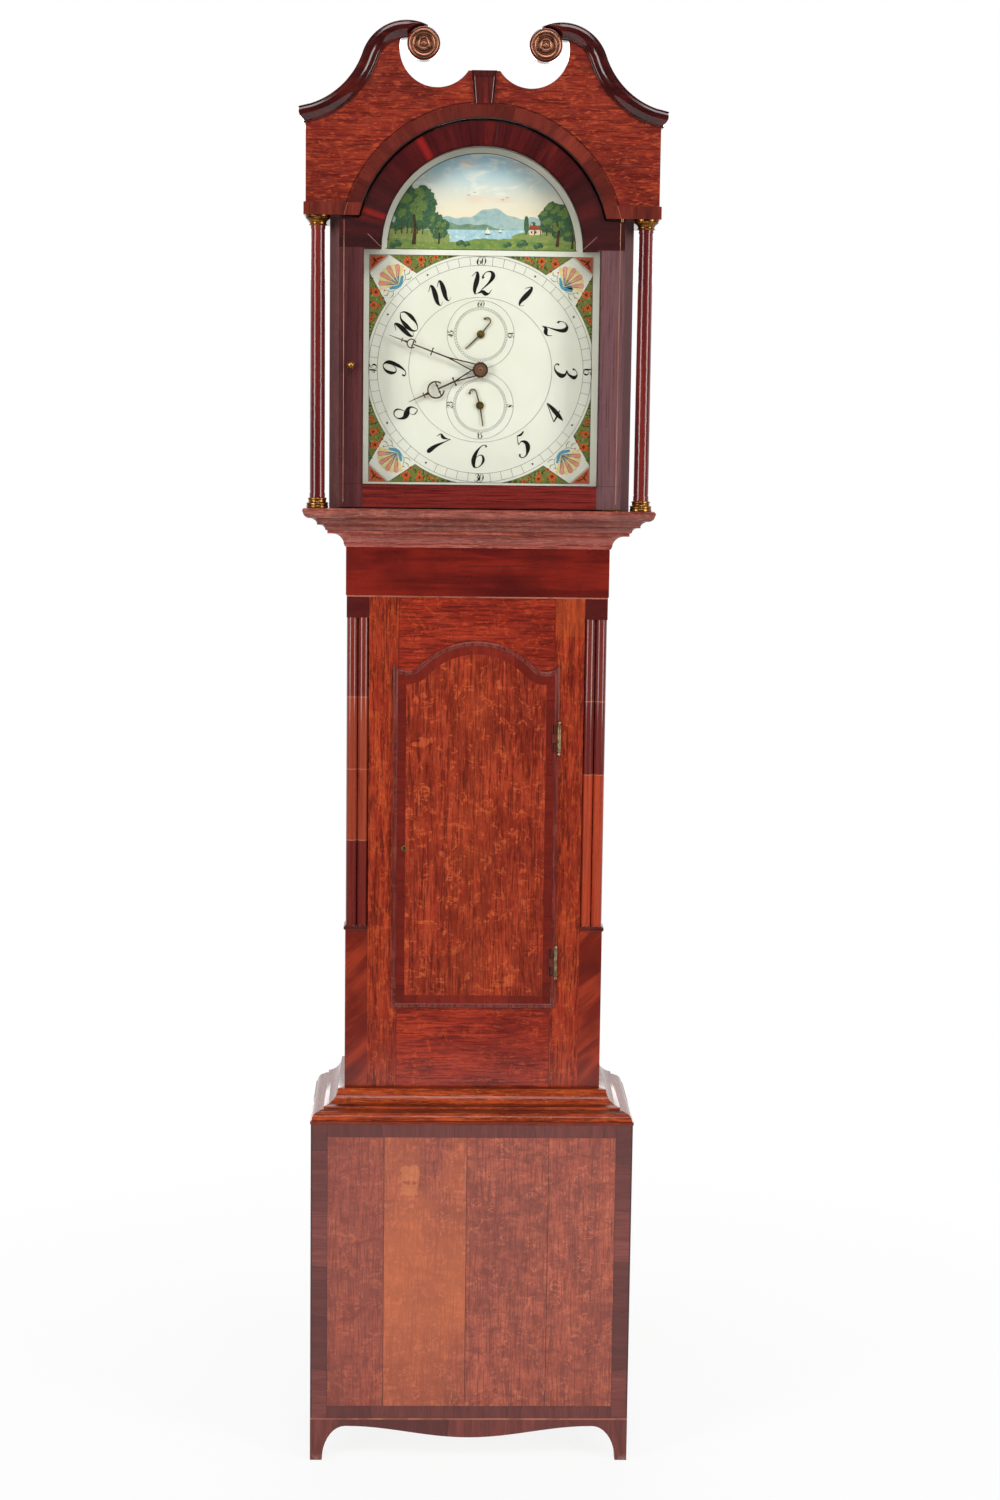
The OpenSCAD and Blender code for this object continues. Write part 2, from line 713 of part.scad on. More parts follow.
module door_hinge_leaves() {
    third = hinge_l / 3 - 0.6;
    edge = door_w / 2 - lip_w - door_gap;
    color("goldenrod") for (z = hinge_heights()) {
        block([edge - leaf_t, edge], [trunk_d - door_t + 3, hinge_d + 1],
            [z - hinge_l / 2, z + hinge_l / 2]);
        difference() {
            union() {
                block([edge - leaf_t, hinge_x], [hinge_d - leaf_t / 2, hinge_d + leaf_t / 2],
                    [z - third / 2, z + third / 2]);
                knuckle(z - third / 2, third, 0);
            }
            translate([hinge_x, depth(hinge_d), z - third])
                cylinder(r = hinge_pin_r + pin_play, h = 2 * third, $fn = 48);
        }
    }
}

keyhole_x = -door_w / 2 + keyhole_in;
keyhole_z = z_door + keyhole_up;
module keyhole(r) {
    translate([keyhole_x, depth(trunk_d + 10), keyhole_z]) rotate([-90, 0, 0])
        cylinder(r = r, h = door_t + 40, $fn = 32);
}

module hinge_clear() {
    hinge_recess(0.4) translate([door_w / 2 - lip_w - door_gap - leaf_t - 0.1, depth(trunk_d + 12)])
        square([lip_w + 10, door_t + 9]);
}

module trunk_door() {
    core = lip_w + door_gap;
    color("chocolate") difference() {
        union() {
            sheet(trunk_d + touch_gap + 0.4, door_t + touch_gap + 0.4) difference() {
                polygon(door_outline(core));
                for (side = [0, 1]) mirror([side, 0]) translate([dip_x, dip_z - core]) square(30);
            }
            difference() {
                sheet(door_face, door_face_t) polygon(door_outline(lip_moulding + door_band));
                keyhole(4.6);
            }
        }
        hinge_clear();
        keyhole(2);
    }
}

module trunk_door_banding() {
    color("maroon") difference() {
        sheet(door_face, door_face_t) difference() {
            polygon(door_outline(lip_moulding));
            polygon(door_outline(lip_moulding + door_band));
        }
        hinge_clear();
        keyhole(4.6);
    }
}

module trunk_door_moulding() {
    color("saddlebrown") difference() {
        union() {
            sheet(trunk_d + touch_gap + lip_h - 1.2, lip_h - 1.2) difference() {
                polygon(door_outline(0));
                polygon(door_outline(lip_moulding));
            }
            sheet(trunk_d + touch_gap + lip_h, 1.6) difference() {
                polygon(door_outline(1.5));
                polygon(door_outline(lip_moulding - 1.3));
            }
        }
        hinge_clear();
    }
}

// Iron lock behind the door with its brass escutcheon in front
module trunk_lock() {
    back = trunk_d - door_t;
    color("dimgray") difference() {
        block([keyhole_x - lock_edge, keyhole_x - lock_edge + lock_w], [back - lock_t, back],
            [keyhole_z - lock_h / 2, keyhole_z + lock_h / 2]);
        block([keyhole_x - 10, keyhole_x + 16 + touch_gap],
            [back - lock_t + 2 - touch_gap, back - 5 + touch_gap],
            [keyhole_z + 6 - touch_gap, keyhole_z + 18 + touch_gap]);
        keyhole(2);
    }
    color("goldenrod") difference() {
        translate([keyhole_x, depth(door_face - door_face_t), keyhole_z]) rotate([90, 0, 0])
            cylinder(r = 4.6, h = door_face_t + 0.8, $fn = 40);
        keyhole(2);
    }
}

module lock_bolt() {
    back = trunk_d - door_t;
    color("gray") block([keyhole_x - lock_edge - 0.5, keyhole_x + 14], [back - lock_t + 2, back - 5],
        [keyhole_z + 6, keyhole_z + 18]);
}

// Hood
module hood_base() {
    inner = slide_gap;
    step = hood_out - 33;
    color("sienna") difference() {
        mitred(half_trunk, trunk_d, 2, inner, hood_out, concat(
            [[inner, seat_gap], [step - 1.5, seat_gap], [step, 1.5]],
            arc([step + 7.5, 1], 7.4, 150, 95, 4),
            [[step + 10.5, 9], [step + 12.5, 9.5]],
            arc([step + 20, 9.5], 8.4, 172, 110, 4), [[step + 18.5, 18.4], [step + 21, 19]],
            arc([step + 21.5, 29.5], 10.5, 278, 350, 5),
            [[hood_out, hood_base_h - 4.5], [hood_out - 0.7, hood_base_h - 1.4], [hood_out - 3, hood_base_h],
            [inner, hood_base_h]]), z_hood);
        translate([pivot_x, depth(pivot_d), z_floor - 8]) cylinder(r = pivot_r + 0.1, h = 12, $fn = 48);
    }
}

module hood_sides() {
    color("sienna") both_sides() {
        block([hood_inner, half_hood], [2, mask_d], [z_floor, z_tymp]);
        block([hood_inner, half_tymp], [2, tymp_back], [z_tymp, z_tymp + 12]);
        block([half_tymp - 13, half_tymp], [2, tymp_back], [z_tymp + 12, z_roof]);
    }
}
z_roof = z_arch + roof_up;

// Centres of the curves of the left swan neck; the hollow and the round curve meet tangentially
hollow_cx = -half_tymp - neck_hollow_out;
hollow_cz = z_tip + neck_hollow_r;
round_cx = -neck_round_x;
round_cz = hollow_cz - sqrt(pow(neck_hollow_r + neck_round_r, 2) - pow(round_cx - hollow_cx, 2));
turn_angle = atan2(round_cz - hollow_cz, round_cx - hollow_cx);
rosette_dir = 56.5;
rosette_reach = neck_round_r - rosette_r - 1;
rosette_x = round_cx + rosette_reach * cos(rosette_dir);
rosette_z = round_cz + rosette_reach * sin(rosette_dir);
tip_angle = -acos((-half_tymp - hollow_cx) / neck_hollow_r);
scallop_x = -scallop_in;
scallop_z = rosette_z - 6;
key_top = z_arch + key_up;

function neck_edge() = concat(
    [[-half_tymp, hollow_cz - sqrt(pow(neck_hollow_r, 2) - pow(-half_tymp - hollow_cx, 2))]],
    [for (i = [1:12]) let (a = tip_angle + (turn_angle - tip_angle) * i / 12)
        [hollow_cx, hollow_cz] + neck_hollow_r * [cos(a), sin(a)]],
    [for (i = [1:14]) let (a = turn_angle + 180 + (rosette_dir - turn_angle - 180) * i / 14)
        [round_cx, round_cz] + neck_round_r * [cos(a), sin(a)]]);

module tympanum_outline() {
    left = concat([[-half_tymp, z_tymp]], neck_edge(), [[rosette_x, rosette_z], [scallop_x, scallop_z],
        [scallop_x, key_top]]);
    difference() {
        polygon(concat(left, flip(left)));
        for (side = [0, 1]) mirror([side, 0]) difference() {
            translate([scallop_x, scallop_z]) circle(r = scallop_r, $fn = 96);
            translate([rosette_x, rosette_z]) circle(r = rosette_r - 1, $fn = 64);
            intersection() {
                translate([round_cx, round_cz]) difference() {
                    circle(r = neck_round_r + 2, $fn = 96);
                    circle(r = neck_round_r - neck_w + 0.5, $fn = 96);
                }
                polygon([[round_cx, round_cz], [rosette_x, rosette_z], [rosette_x, rosette_z + 60],
                    [round_cx - 90, round_cz + 80], [round_cx - 90, round_cz]]);
            }
        }
        translate([0, z_arch]) circle(r = arch_r, $fn = 180);
    }
}

module tympanum() {
    color("chocolate") difference() {
        sheet(tymp_d, tympanum_t) tympanum_outline();
        translate([pivot_x, depth(pivot_d), z_tymp - 2]) cylinder(r = pivot_r + 0.1, h = 12, $fn = 48);
    }
}

module tympanum_banding() {
    color("maroon") {
        sheet(tymp_d + 1.2, 1.2) difference() {
            intersection() {
                translate([0, z_arch]) circle(r = arch_r + arch_band_w, $fn = 180);
                translate([-half_tymp, z_band]) square([2 * half_tymp, arch_r + arch_band_w]);
            }
            translate([0, z_arch]) circle(r = arch_r, $fn = 180);
            polygon(keystone_outline());
        }
        difference() {
            mitred(half_tymp, tymp_d, 2, 0, frame_band_t, [[0, 0], [frame_band_t, 0],
                [frame_band_t, frame_band_h - 1], [frame_band_t - 1, frame_band_h],
                [0, frame_band_h]], z_tymp);
            sheet(tymp_d + 10, 20) translate([0, z_arch]) circle(r = arch_r, $fn = 180);
        }
    }
}

function keystone_outline() = [[-keystone_w * 0.38, z_arch + arch_r + arch_band_w * 0.9 + 2],
    [keystone_w * 0.38, z_arch + arch_r + arch_band_w * 0.9 + 2], [keystone_w / 2, key_top],
    [-keystone_w / 2, key_top]];
module keystone() {
    color("firebrick") {
        sheet(tymp_d + 4, 4) polygon(keystone_outline());
        sheet(tymp_d + 6, 2) polygon([[-keystone_w / 2 + 1, key_top - 8], [keystone_w / 2 - 1, key_top - 8],
            [keystone_w / 2, key_top], [-keystone_w / 2, key_top]]);
    }
}

// Section of the cornice and swan necks: distance down the face, and projection, as shares
neck_section = [[0, 0], [0, 1], [0.3, 1], [0.34, 0.86], [0.42, 0.84], [0.55, 0.72], [0.68, 0.45],
    [0.8, 0.26], [0.86, 0.24], [0.9, 0.32], [0.97, 0.28], [1, 0.12], [1, 0]];

// Point of the left neck's section at the mitred tip
function tip_point(q) = let (r = neck_hollow_r + neck_w * q[0], x = -half_tymp - neck_out * q[1])
    [x, hollow_cz - sqrt(r * r - pow(x - hollow_cx, 2))];
function hollow_point(q, a) = [hollow_cx, hollow_cz] + (neck_hollow_r + neck_w * q[0]) * [cos(a), sin(a)];
function round_low(a) = let (away = a - rosette_dir)
    max(neck_round_r - neck_w, rosette_reach * cos(away)
        + sqrt(max(0, pow(rosette_r + 2 * seat_gap, 2) - pow(rosette_reach * sin(away), 2))));
function round_point(q, a) = [round_cx, round_cz]
    + (neck_round_r - (neck_round_r - round_low(a)) * q[0]) * [cos(a), sin(a)];
function station(q, i) = i == 0 ? tip_point(q)
    : i <= 10 ? hollow_point(q, tip_angle + 4 + (turn_angle - tip_angle - 4) * (i - 1) / 9)
    : round_point(q, turn_angle + 180 + (rosette_dir + 7 - turn_angle - 180) * (i - 10) / 14);

module left_swan_neck() {
    n = len(neck_section);
    stations = 25;
    points = [for (i = [0:stations - 1]) for (q = neck_section) let (p = station(q, i))
        [p[0], depth(tymp_d + neck_out * q[1]), p[1]]];
    sides = [for (i = [0:stations - 2]) for (k = [0:n - 1]) let (a = i * n + k, b = i * n + (k + 1) % n)
        [a, a + n, b + n, b]];
    polyhedron(points, concat(sides, [[for (k = [0:n - 1]) k],
        [for (k = [n - 1:-1:0]) (stations - 1) * n + k]]), convexity = 6);
}

module swan_neck_cornice() {
    section = [for (q = neck_section) let (p = tip_point(q)) [p[0], p[1]]];
    color("maroon") both_sides() {
        left_swan_neck();
        intersection() {
            translate([0, depth(2), 0]) rotate([90, 0, 0])
                linear_extrude(tymp_d + neck_out) polygon(section);
            translate([0, 0, z_tip - 60]) linear_extrude(120) polygon([[-half_tymp, depth(tymp_d)],
                [-half_tymp, depth(2)], [-half_tymp - neck_out - 1, depth(2)],
                [-half_tymp - neck_out - 1, depth(tymp_d + neck_out + 1)]]);
        }
    }
}

module rosettes() {
    r = rosette_r;
    color("peru") both_sides() translate([rosette_x, depth(tymp_d), rosette_z]) rotate([90, 0, 0])
        rotate_extrude($fn = 72) polygon(concat([[0, 0], [r, 0], [r, 9.5], [r - 0.8, 10.5], [r - 1.8, 10.5],
            [r - 2.2, 12], [r - 3.4, 13], [r * 0.64, 13.4], [r * 0.6, 11.6], [r * 0.56, 11.4]],
            arc([r * 0.46, 12], r * 0.1, 0, 180, 6), [[r * 0.34, 11.4], [r * 0.28, 12.6], [r * 0.2, 13]],
            arc([0, 12], 4.5, 14, 90, 5)));
}

module hood_columns() {
    bottom = z_floor + foot_ring_h;
    top = z_tymp - capital_h;
    r = column_r;
    color("maroon") both_sides() translate([column_x, depth(column_d), bottom]) rotate_extrude($fn = 64)
        polygon([[0, 0], [r, 0], [r, 6], [r - 0.9, 8], for (i = [0:8]) [r - 0.4 - 0.7 * pow(i / 8, 2),
            10 + (top - bottom - 20) * i / 8], [r - 1.2, top - bottom - 6], [r - 0.4, top - bottom - 4],
            [r - 0.4, top - bottom], [0, top - bottom]]);
}

module column_mounts() {
    c = capital_r;
    f = foot_ring_r;
    color("goldenrod") both_sides() {
        translate([column_x, depth(column_d), z_tymp - capital_h]) rotate_extrude($fn = 64)
            polygon(concat([[0, 0], [c * 0.68, 0], [c * 0.74, 1.2], [c * 0.68, 2.6]],
                arc([c * 0.98, 2.6], c * 0.3, 180, 110, 5), [[c * 0.88, capital_h * 0.62],
                [c * 0.96, capital_h * 0.66], [c, capital_h * 0.76], [c * 0.96, capital_h * 0.84],
                [c, capital_h * 0.86], [c, capital_h], [0, capital_h]]));
        translate([column_x, depth(column_d), z_floor]) rotate_extrude($fn = 64)
            polygon(concat([[0, 0], [f, 0], [f, foot_ring_h * 0.22], [f * 0.97, foot_ring_h * 0.26]],
                arc([f * 0.86, foot_ring_h * 0.42], f * 0.13, -50, 80, 5), [[f * 0.82, foot_ring_h * 0.62],
                [f * 0.8, foot_ring_h * 0.78], [f * 0.86, foot_ring_h * 0.84],
                [f * 0.84, foot_ring_h * 0.95],
                [f * 0.78, foot_ring_h], [0, foot_ring_h]]));
    }
}

// Barrel roof over the arch with a flat shelf on each side
module hood_roof() {
    r = arch_r + arch_band_w - 1;
    shelf = sqrt(pow(r - roof_t / 2, 2) - pow(z_roof - z_arch, 2));
    color("tan") {
        translate([0, depth(2), 0]) rotate([90, 0, 0]) linear_extrude(tymp_back - 2) difference() {
            intersection() {
                translate([0, z_arch]) circle(r = r, $fn = 180);
                translate([-r, z_roof]) square([2 * r, r]);
            }
            translate([0, z_arch]) circle(r = r - roof_t, $fn = 180);
        }
        both_sides() block([shelf, half_tymp], [2, tymp_back], [z_roof, z_roof + roof_t]);
    }
}

// Frame behind the door that closes the gap round the dial
module dial_mask() {
    color("dimgray") sheet(mask_d, mask_d - mask_back) difference() {
        translate([-hood_inner, z_floor]) square([2 * hood_inner, z_roof - z_floor]);
        arched(sight_w / 2 + 2.5, z_sight - 2.5, z_square + 2, sight_r + 2.5);
    }
}

// Hood door
pivot_x = hood_door_w / 2 - 4.5;
pivot_d = hood_door_d - 4;
z_door_low = z_floor + 2.2;
module hood_door_frame() {
    color("maroon") difference() {
        sheet(hood_door_d, hood_door_t)
            arched(hood_door_w / 2, z_door_low, z_tymp - 3.5, arch_r - swing_gap);
        sheet(hood_door_d + 1, hood_door_t + 2) arched(sight_w / 2, z_sight, z_square, sight_r);
        sheet(hood_door_d + 1, 3.5) arched(sight_w / 2 + 2, z_sight - 2, z_square + 2, sight_r + 2);
        sheet(hood_door_d - 12, hood_door_t) arched(sight_w / 2 + 5.3, z_sight - 5.3, z_square + 5.3,
            sight_r + 5.3);
        for (z = [z_door_low - 1, z_tymp - 13]) translate([pivot_x, depth(pivot_d), z])
            cylinder(r = pivot_r, h = 12, $fn = 48);
        translate([-hood_door_w / 2 + 18, depth(hood_door_d + 1), z_dial + 4]) rotate([-90, 0, 0])
            cylinder(r = 2.5, h = 12, $fn = 32);
    }
}

module hood_door_glass() {
    color("lightcyan", 0.4) sheet(hood_door_d - 12, glass_t)
        arched(sight_w / 2 + 5, z_sight - 5, z_square + 5, sight_r + 5);
}

// Turned brass knob and the two pivot pins on which the door swings
module hood_door_fittings() {
    color("goldenrod") {
        translate([-hood_door_w / 2 + 18, depth(hood_door_d), z_dial + 4]) rotate([90, 0, 0]) {
            rotate_extrude($fn = 48) polygon(concat([[0, 0], [4.6, 0], [4.6, 1], [2.6, 2], [2.4, 6]],
                arc([0, 10.5], 5.6, -50, 90, 8)));
            translate([0, 0, -9]) cylinder(r = 2.5, h = 10, $fn = 32);
        }
        translate([pivot_x, depth(pivot_d), z_floor - 6]) cylinder(r = pivot_r, h = 19, $fn = 48);
        translate([pivot_x, depth(pivot_d), z_tymp - 13]) cylinder(r = pivot_r, h = 20, $fn = 48);
        block([pivot_x - 22, hood_door_w / 2], [hood_door_d - 9, hood_door_d], [z_floor + 0.6, z_door_low]);
    }
}

// Dial and hands
module dial_plate() {
    color("ivory") difference() {
        union() {
            sheet(dial_d, dial_t) arched(dial_w / 2, z_dial - dial_w / 2, z_dial + dial_w / 2, dial_arch_r);
            for (x = [-52, 52]) for (up = [plate_low + 14, plate_high - 14])
                arbor(x, up, 3.5, plate_front, dial_d - dial_t / 2);
        }
        arbor(0, -seconds_up, 2 + pivot_play, dial_d - dial_t - 1, dial_d + 1);
        arbor(0, 0, 5.4, dial_d - dial_t - 1, dial_d + 1);
        arbor(0, seconds_up, 2.2, dial_d - dial_t - 1, dial_d + 1);
    }
}

module hand(x, up, d, turn) {
    translate([x, depth(d - hand_t / 2), z_dial + up]) rotate([90, 0, 0]) linear_extrude(hand_t)
        rotate(-turn) children();
}

module ring_2d(r, w) {
    difference() {
        circle(r = r, $fn = 40);
        circle(r = r - w, $fn = 40);
    }
}

module tapered(y0, y1, w0, w1) {
    polygon([[-w0 / 2, y0], [w0 / 2, y0], [w1 / 2, y1], [-w1 / 2, y1]]);
}

minute_turn = 290;
hour_turn = 245.4;
seconds_turn = 226;
calendar_turn = 171;

// Crescent whose horns point to the boss, with a bar and two knobs across it
module crescent(y, r, w) {
    translate([0, y]) {
        difference() {
            ring_2d(r, w);
            polygon([[0, -0.3 * r], [-0.9 * r, -1.3 * r], [0.9 * r, -1.3 * r]]);
        }
        translate([-r + w / 2, -0.36 * r]) square([2 * r - w, w * 0.8]);
        for (side = [-1, 1]) translate([side * 0.38 * r, -0.36 * r + w * 0.4]) circle(r = w * 0.8, $fn = 24);
    }
}

// Bar across a hand, with a knob at each end
module crossbar(y, half, knob) {
    translate([-half, y - knob * 0.55]) square([2 * half, knob * 1.1]);
    for (side = [-1, 1]) translate([side * half, y]) circle(r = knob, $fn = 24);
}

// Two slim legs that spread from a place on the hand down to the boss
module legs(y, spread, from, w) {
    for (side = [-1, 1]) translate([0, y]) rotate(side * atan2(spread, y - from))
        tapered(-(y - from), 0, w, w * 1.15);
}

// Pierced hands: a boss, two legs, crossbars, a crescent and a long tip
module minute_hand() {
    share = minute_l / 145;
    color("darkgoldenrod") difference() {
        union() {
            hand(0, 0, minute_hand_d, minute_turn) {
                circle(r = 11.4, $fn = 64);
                legs(52 * share, 5.6, 8, 1.7);
                tapered(51 * share, 107 * share, 2.2, 1.8);
                crossbar(77 * share, 4.6, 1.3);
                crescent(109.5 * share, 7.3, 1.7);
                tapered(115.6 * share, 122 * share, 4, 1.8);
                crossbar(124.5 * share, 2.4, 0.9);
                tapered(121 * share, minute_l, 1.8, 0.6);
            }
            arbor(0, 0, 8.6, minute_hand_d, minute_hand_d + 1.6);
            arbor(0, 0, 3, minute_hand_d, minute_hand_d + 3.4);
        }
        arbor(0, 0, arbor_r + 0.02, minute_hand_d - 2, minute_hand_d + 6);
    }
}

module hour_hand() {
    share = hour_l / 117.5;
    color("darkgoldenrod") hand(0, 0, hour_hand_d, hour_turn) difference() {
        union() {
            circle(r = 10, $fn = 64);
            legs(42.4 * share, 5.6, 7, 1.8);
            tapered(41.5 * share, 68.5 * share, 2.6, 2.4);
            crossbar(42.4 * share, 5.2, 1.6);
            crescent(72.5 * share, 13.2, 2.2);
            tapered(84.4 * share, 91 * share, 5, 2.2);
            crossbar(92 * share, 3, 1.1);
            tapered(90 * share, hour_l, 2.2, 0.8);
        }
        circle(r = 4.62, $fn = 40);
    }
}

// Small hand with a hooked tail that ends in a ball
module small_hand(up, d, turn, bore) {
    hand(0, up, d, turn) difference() {
        union() {
            circle(r = 6, $fn = 48);
            tapered(0, small_hand_l, 2.2, 2);
            rotate(7.5) tapered(-21, 0, 1.8, 2.2);
            intersection() {
                translate([7.6, -20.6]) ring_2d(5.7, 1.8);
                translate([0, -30]) square([20, 10]);
            }
            translate([12.4, -20.4]) circle(r = 1.9, $fn = 24);
        }
        circle(r = bore, $fn = 32);
    }
}

module seconds_hand() {
    color("darkgoldenrod") small_hand(seconds_up, seconds_hand_d, seconds_turn, 1.52);
}

module calendar_hand() {
    color("darkgoldenrod") small_hand(-seconds_up, seconds_hand_d, calendar_turn, 2.02);
}

// Movement: plates, pillars, cock, studs
module plate_2d(rear) {
    difference() {
        translate([-plate_w / 2, plate_low]) square([plate_w, plate_high - plate_low]);
        for (p = [[going_x, great_z], [-going_x, great_z], [third_right, third_up], [0, 0], [0, seconds_up],
            [-going_x, hoop_up], [warning_x, warning_up], [fly_x, fly_up], [hammer_x, hammer_up]])
            translate(p) circle(r = pivot_pin_r + pivot_play, $fn = 32);
        if (!rear) translate([0, 0]) circle(r = arbor_r + pivot_play, $fn = 32);
        if (!rear) translate([0, seconds_up]) circle(r = 1.5 + pivot_play, $fn = 32);
        translate([0, pallet_up]) circle(r = rear ? 7 : pivot_pin_r + pivot_play, $fn = 32);
    }
}

module movement_frame() {
    color("gold") {
        for (rear = [true, false]) translate([0, depth(rear ? plate_rear : plate_front - plate_t), z_dial])
            rotate([90, 0, 0]) linear_extrude(plate_t) plate_2d(rear);
        for (side = [-1, 1]) {
            arbor(side * (plate_w / 2 - 6), plate_low + 8, 4, plate_rear + plate_t, plate_front - plate_t);
            arbor(side * (plate_w / 2 - 24), plate_high - 8, 4, plate_rear + plate_t, plate_front - plate_t);
        }
        arbor(minute_x, 0, 2, plate_front, motion_d - wheel_t);
        arbor(minute_x, 0, 1, motion_d - wheel_t - 1, hour_d + 5);
        translate([0, depth(pendulum_d - 8), z_pivot]) rotate([90, 0, 0])
            linear_extrude(plate_rear - pendulum_d + 8)
            difference() {
                translate([-16, 3]) square([32, 15]);
                translate([-2, 2]) square([4, 8]);
            }
        difference() {
            block([-16, 16], [plate_rear - 5, plate_rear], [z_pivot - 10, z_pivot + 3]);
            translate([0, depth(plate_rear - 6), z_pivot]) rotate([90, 0, 0])
                cylinder(r = arbor_r + pivot_play,
                h = 8, $fn = 40);
        }
    }
}

// Chain wheel with a groove for the chain, and its spikes
module chain_wheel(x) {
    translate([x, depth(chain_d - 4), z_dial + great_z]) rotate([90, 0, 0]) rotate_extrude($fn = 72)
        polygon([[arbor_r, 0], [chain_r - 0.5, 0], [chain_r - 0.5, 1], [chain_r - chain_wire - touch_gap, 2],
            [chain_r - chain_wire - touch_gap, 6], [chain_r - 0.5, 7], [chain_r - 0.5, 8], [arbor_r, 8]]);
}

// The angle of the line between two places, seen from the front
function way(from, to) = atan2(to[1] - from[1], to[0] - from[0]);

module going_great_wheel() {
    color("gold") {
        wheel(going_x, great_z, going_d, great_teeth, great_m, wheel_t,
            way([going_x, great_z], [0, 0]), 4, 16, 3);
        chain_wheel(going_x);
        arbor(going_x, great_z, 8, going_d, chain_d - 4);
        plate_arbor(going_x, great_z);
    }
}

module centre_wheel() {
    color("gold") {
        wheel(0, 0, centre_d, centre_teeth, centre_m, wheel_t, way([0, 0], [third_right, third_up]));
        pinion(0, 0, going_d - 4, going_d + 4, centre_leaves, great_m,
            way([0, 0], [going_x, great_z]) + 180 / centre_leaves);
        arbor(0, 0, arbor_r, plate_rear + plate_t + 0.5, minute_hand_d + 3.5);
        arbor(0, 0, pivot_pin_r, plate_rear - 0.5, plate_rear + plate_t + 1);
        arbor(0, 0, 2.6, motion_d - 3, minute_hand_d - hand_t / 2);
        wheel(0, 0, motion_d, motion_teeth, motion_m, wheel_t, 180, 0);
    }
}

module third_wheel() {
    color("gold") {
        wheel(third_right, third_up, third_d, third_teeth, third_m, wheel_t,
            way([third_right, third_up], [0, seconds_up]));
        pinion(third_right, third_up, centre_d - 2.5, third_d - wheel_t / 2, third_leaves, centre_m,
            way([third_right, third_up], [0, 0]) + 180 / third_leaves);
        plate_arbor(third_right, third_up);
    }
}

// Recoil escape wheel with thirty raked teeth, and the seconds arbor
module escape_wheel() {
    step = 360 / escape_teeth;
    color("gold") {
        translate([0, depth(escape_d - wheel_t / 2), z_dial + seconds_up]) rotate([90, 0, 0])
            linear_extrude(wheel_t) difference() {
                polygon([for (i = [0:escape_teeth - 1]) for (q = [[0, escape_r - 4.5], [0.1, escape_r],
                    [0.2, escape_r], [0.75, escape_r - 4.5]])
                    q[1] * [cos((i + q[0]) * step), sin((i + q[0]) * step)]]);
                difference() {
                    circle(r = escape_r - 7, $fn = 72);
                    circle(r = 5, $fn = 40);
                    for (i = [0:3]) rotate(i * 90) translate([0, -1.2]) square([escape_r, 2.4]);
                }
            }
        pinion(0, seconds_up, third_d - 3, third_d + 3, escape_leaves, third_m,
            way([0, seconds_up], [third_right, third_up]) + 180 / escape_leaves);
        plate_arbor(0, seconds_up);
        arbor(0, seconds_up, 1.5, plate_front - plate_t - 1, seconds_hand_d + hand_t);
    }
}

module minute_wheel() {
    color("gold") difference() {
        union() {
            wheel(minute_x, 0, motion_d, motion_teeth, motion_m, wheel_t, 180 / motion_teeth, 4, 6);
            pinion(minute_x, 0, motion_d, hour_d + 3, minute_leaves, hour_m, 180 / minute_leaves);
        }
        arbor(minute_x, 0, 1 + pivot_play, motion_d - 5, hour_d + 8);
    }
}

module hour_wheel() {
    color("gold") difference() {
        union() {
            wheel(0, 0, hour_d, hour_teeth, hour_m, wheel_t, 180, 4, 8);
            arbor(0, 0, 4.6, hour_d - 1, hour_hand_d + hand_t / 2 + 1);
        }
        arbor(0, 0, 2.9, hour_d - 3, hour_hand_d + 4);
    }
}

// Star wheel of the day of the month
module calendar_wheel() {
    step = 360 / calendar_teeth;
    color("gold") {
        translate([0, depth(calendar_d - 1), z_dial - seconds_up]) rotate([90, 0, 0]) linear_extrude(2)
            polygon([for (i = [0:calendar_teeth - 1]) for (q = [[0, calendar_r - 2.6], [0.5, calendar_r]])
                q[1] * [cos((i + q[0]) * step), sin((i + q[0]) * step)]]);
        arbor(0, -seconds_up, 3.6, calendar_d - 1, dial_d - dial_t - touch_gap);
        arbor(0, -seconds_up, 2, calendar_d, seconds_hand_d + hand_t);
    }
}

// Recoil anchor over the escape wheel, its arbor, and the crutch that swings with the pendulum
module pallet_anchor() {
    keep = escape_r + 1.9;
    color("slategray") {
        translate([0, depth(escape_d - 2.5), z_dial]) rotate([90, 0, 0]) linear_extrude(5) difference() {
            union() {
                intersection() {
                    translate([0, seconds_up]) circle(r = keep + 5, $fn = 96);
                    translate([0, seconds_up]) polygon([[0, 0], [40, 30], [40, 60], [-40, 60], [-40, 30]]);
                }
                translate([0, pallet_up]) circle(r = 6, $fn = 48);
            }
            translate([0, seconds_up]) circle(r = keep, $fn = 96);
        }
        arbor(0, pallet_up, arbor_r, plate_rear - 4.5, plate_front - plate_t - 0.5);
        arbor(0, pallet_up, pivot_pin_r, escape_d, plate_front + 0.5);
        arbor(0, pallet_up, 2.6, plate_rear - 10.5, plate_rear - 5.5);
        arbor(0, pallet_up, arbor_r, plate_rear - 10, plate_rear - 4);
        translate([0, depth(plate_rear - 8), z_pivot - 120]) cylinder(r = 1.6, h = 118, $fn = 24);
        both_sides() block([rod_r + touch_gap, rod_r + touch_gap + 2], [pendulum_d - 5, plate_rear - 6.5],
            [z_pivot - 124, z_pivot - 119]);
        block([-rod_r - touch_gap - 2, rod_r + touch_gap + 2], [plate_rear - 9.5, plate_rear - 6.5],
            [z_pivot - 124, z_pivot - 119]);
    }
}

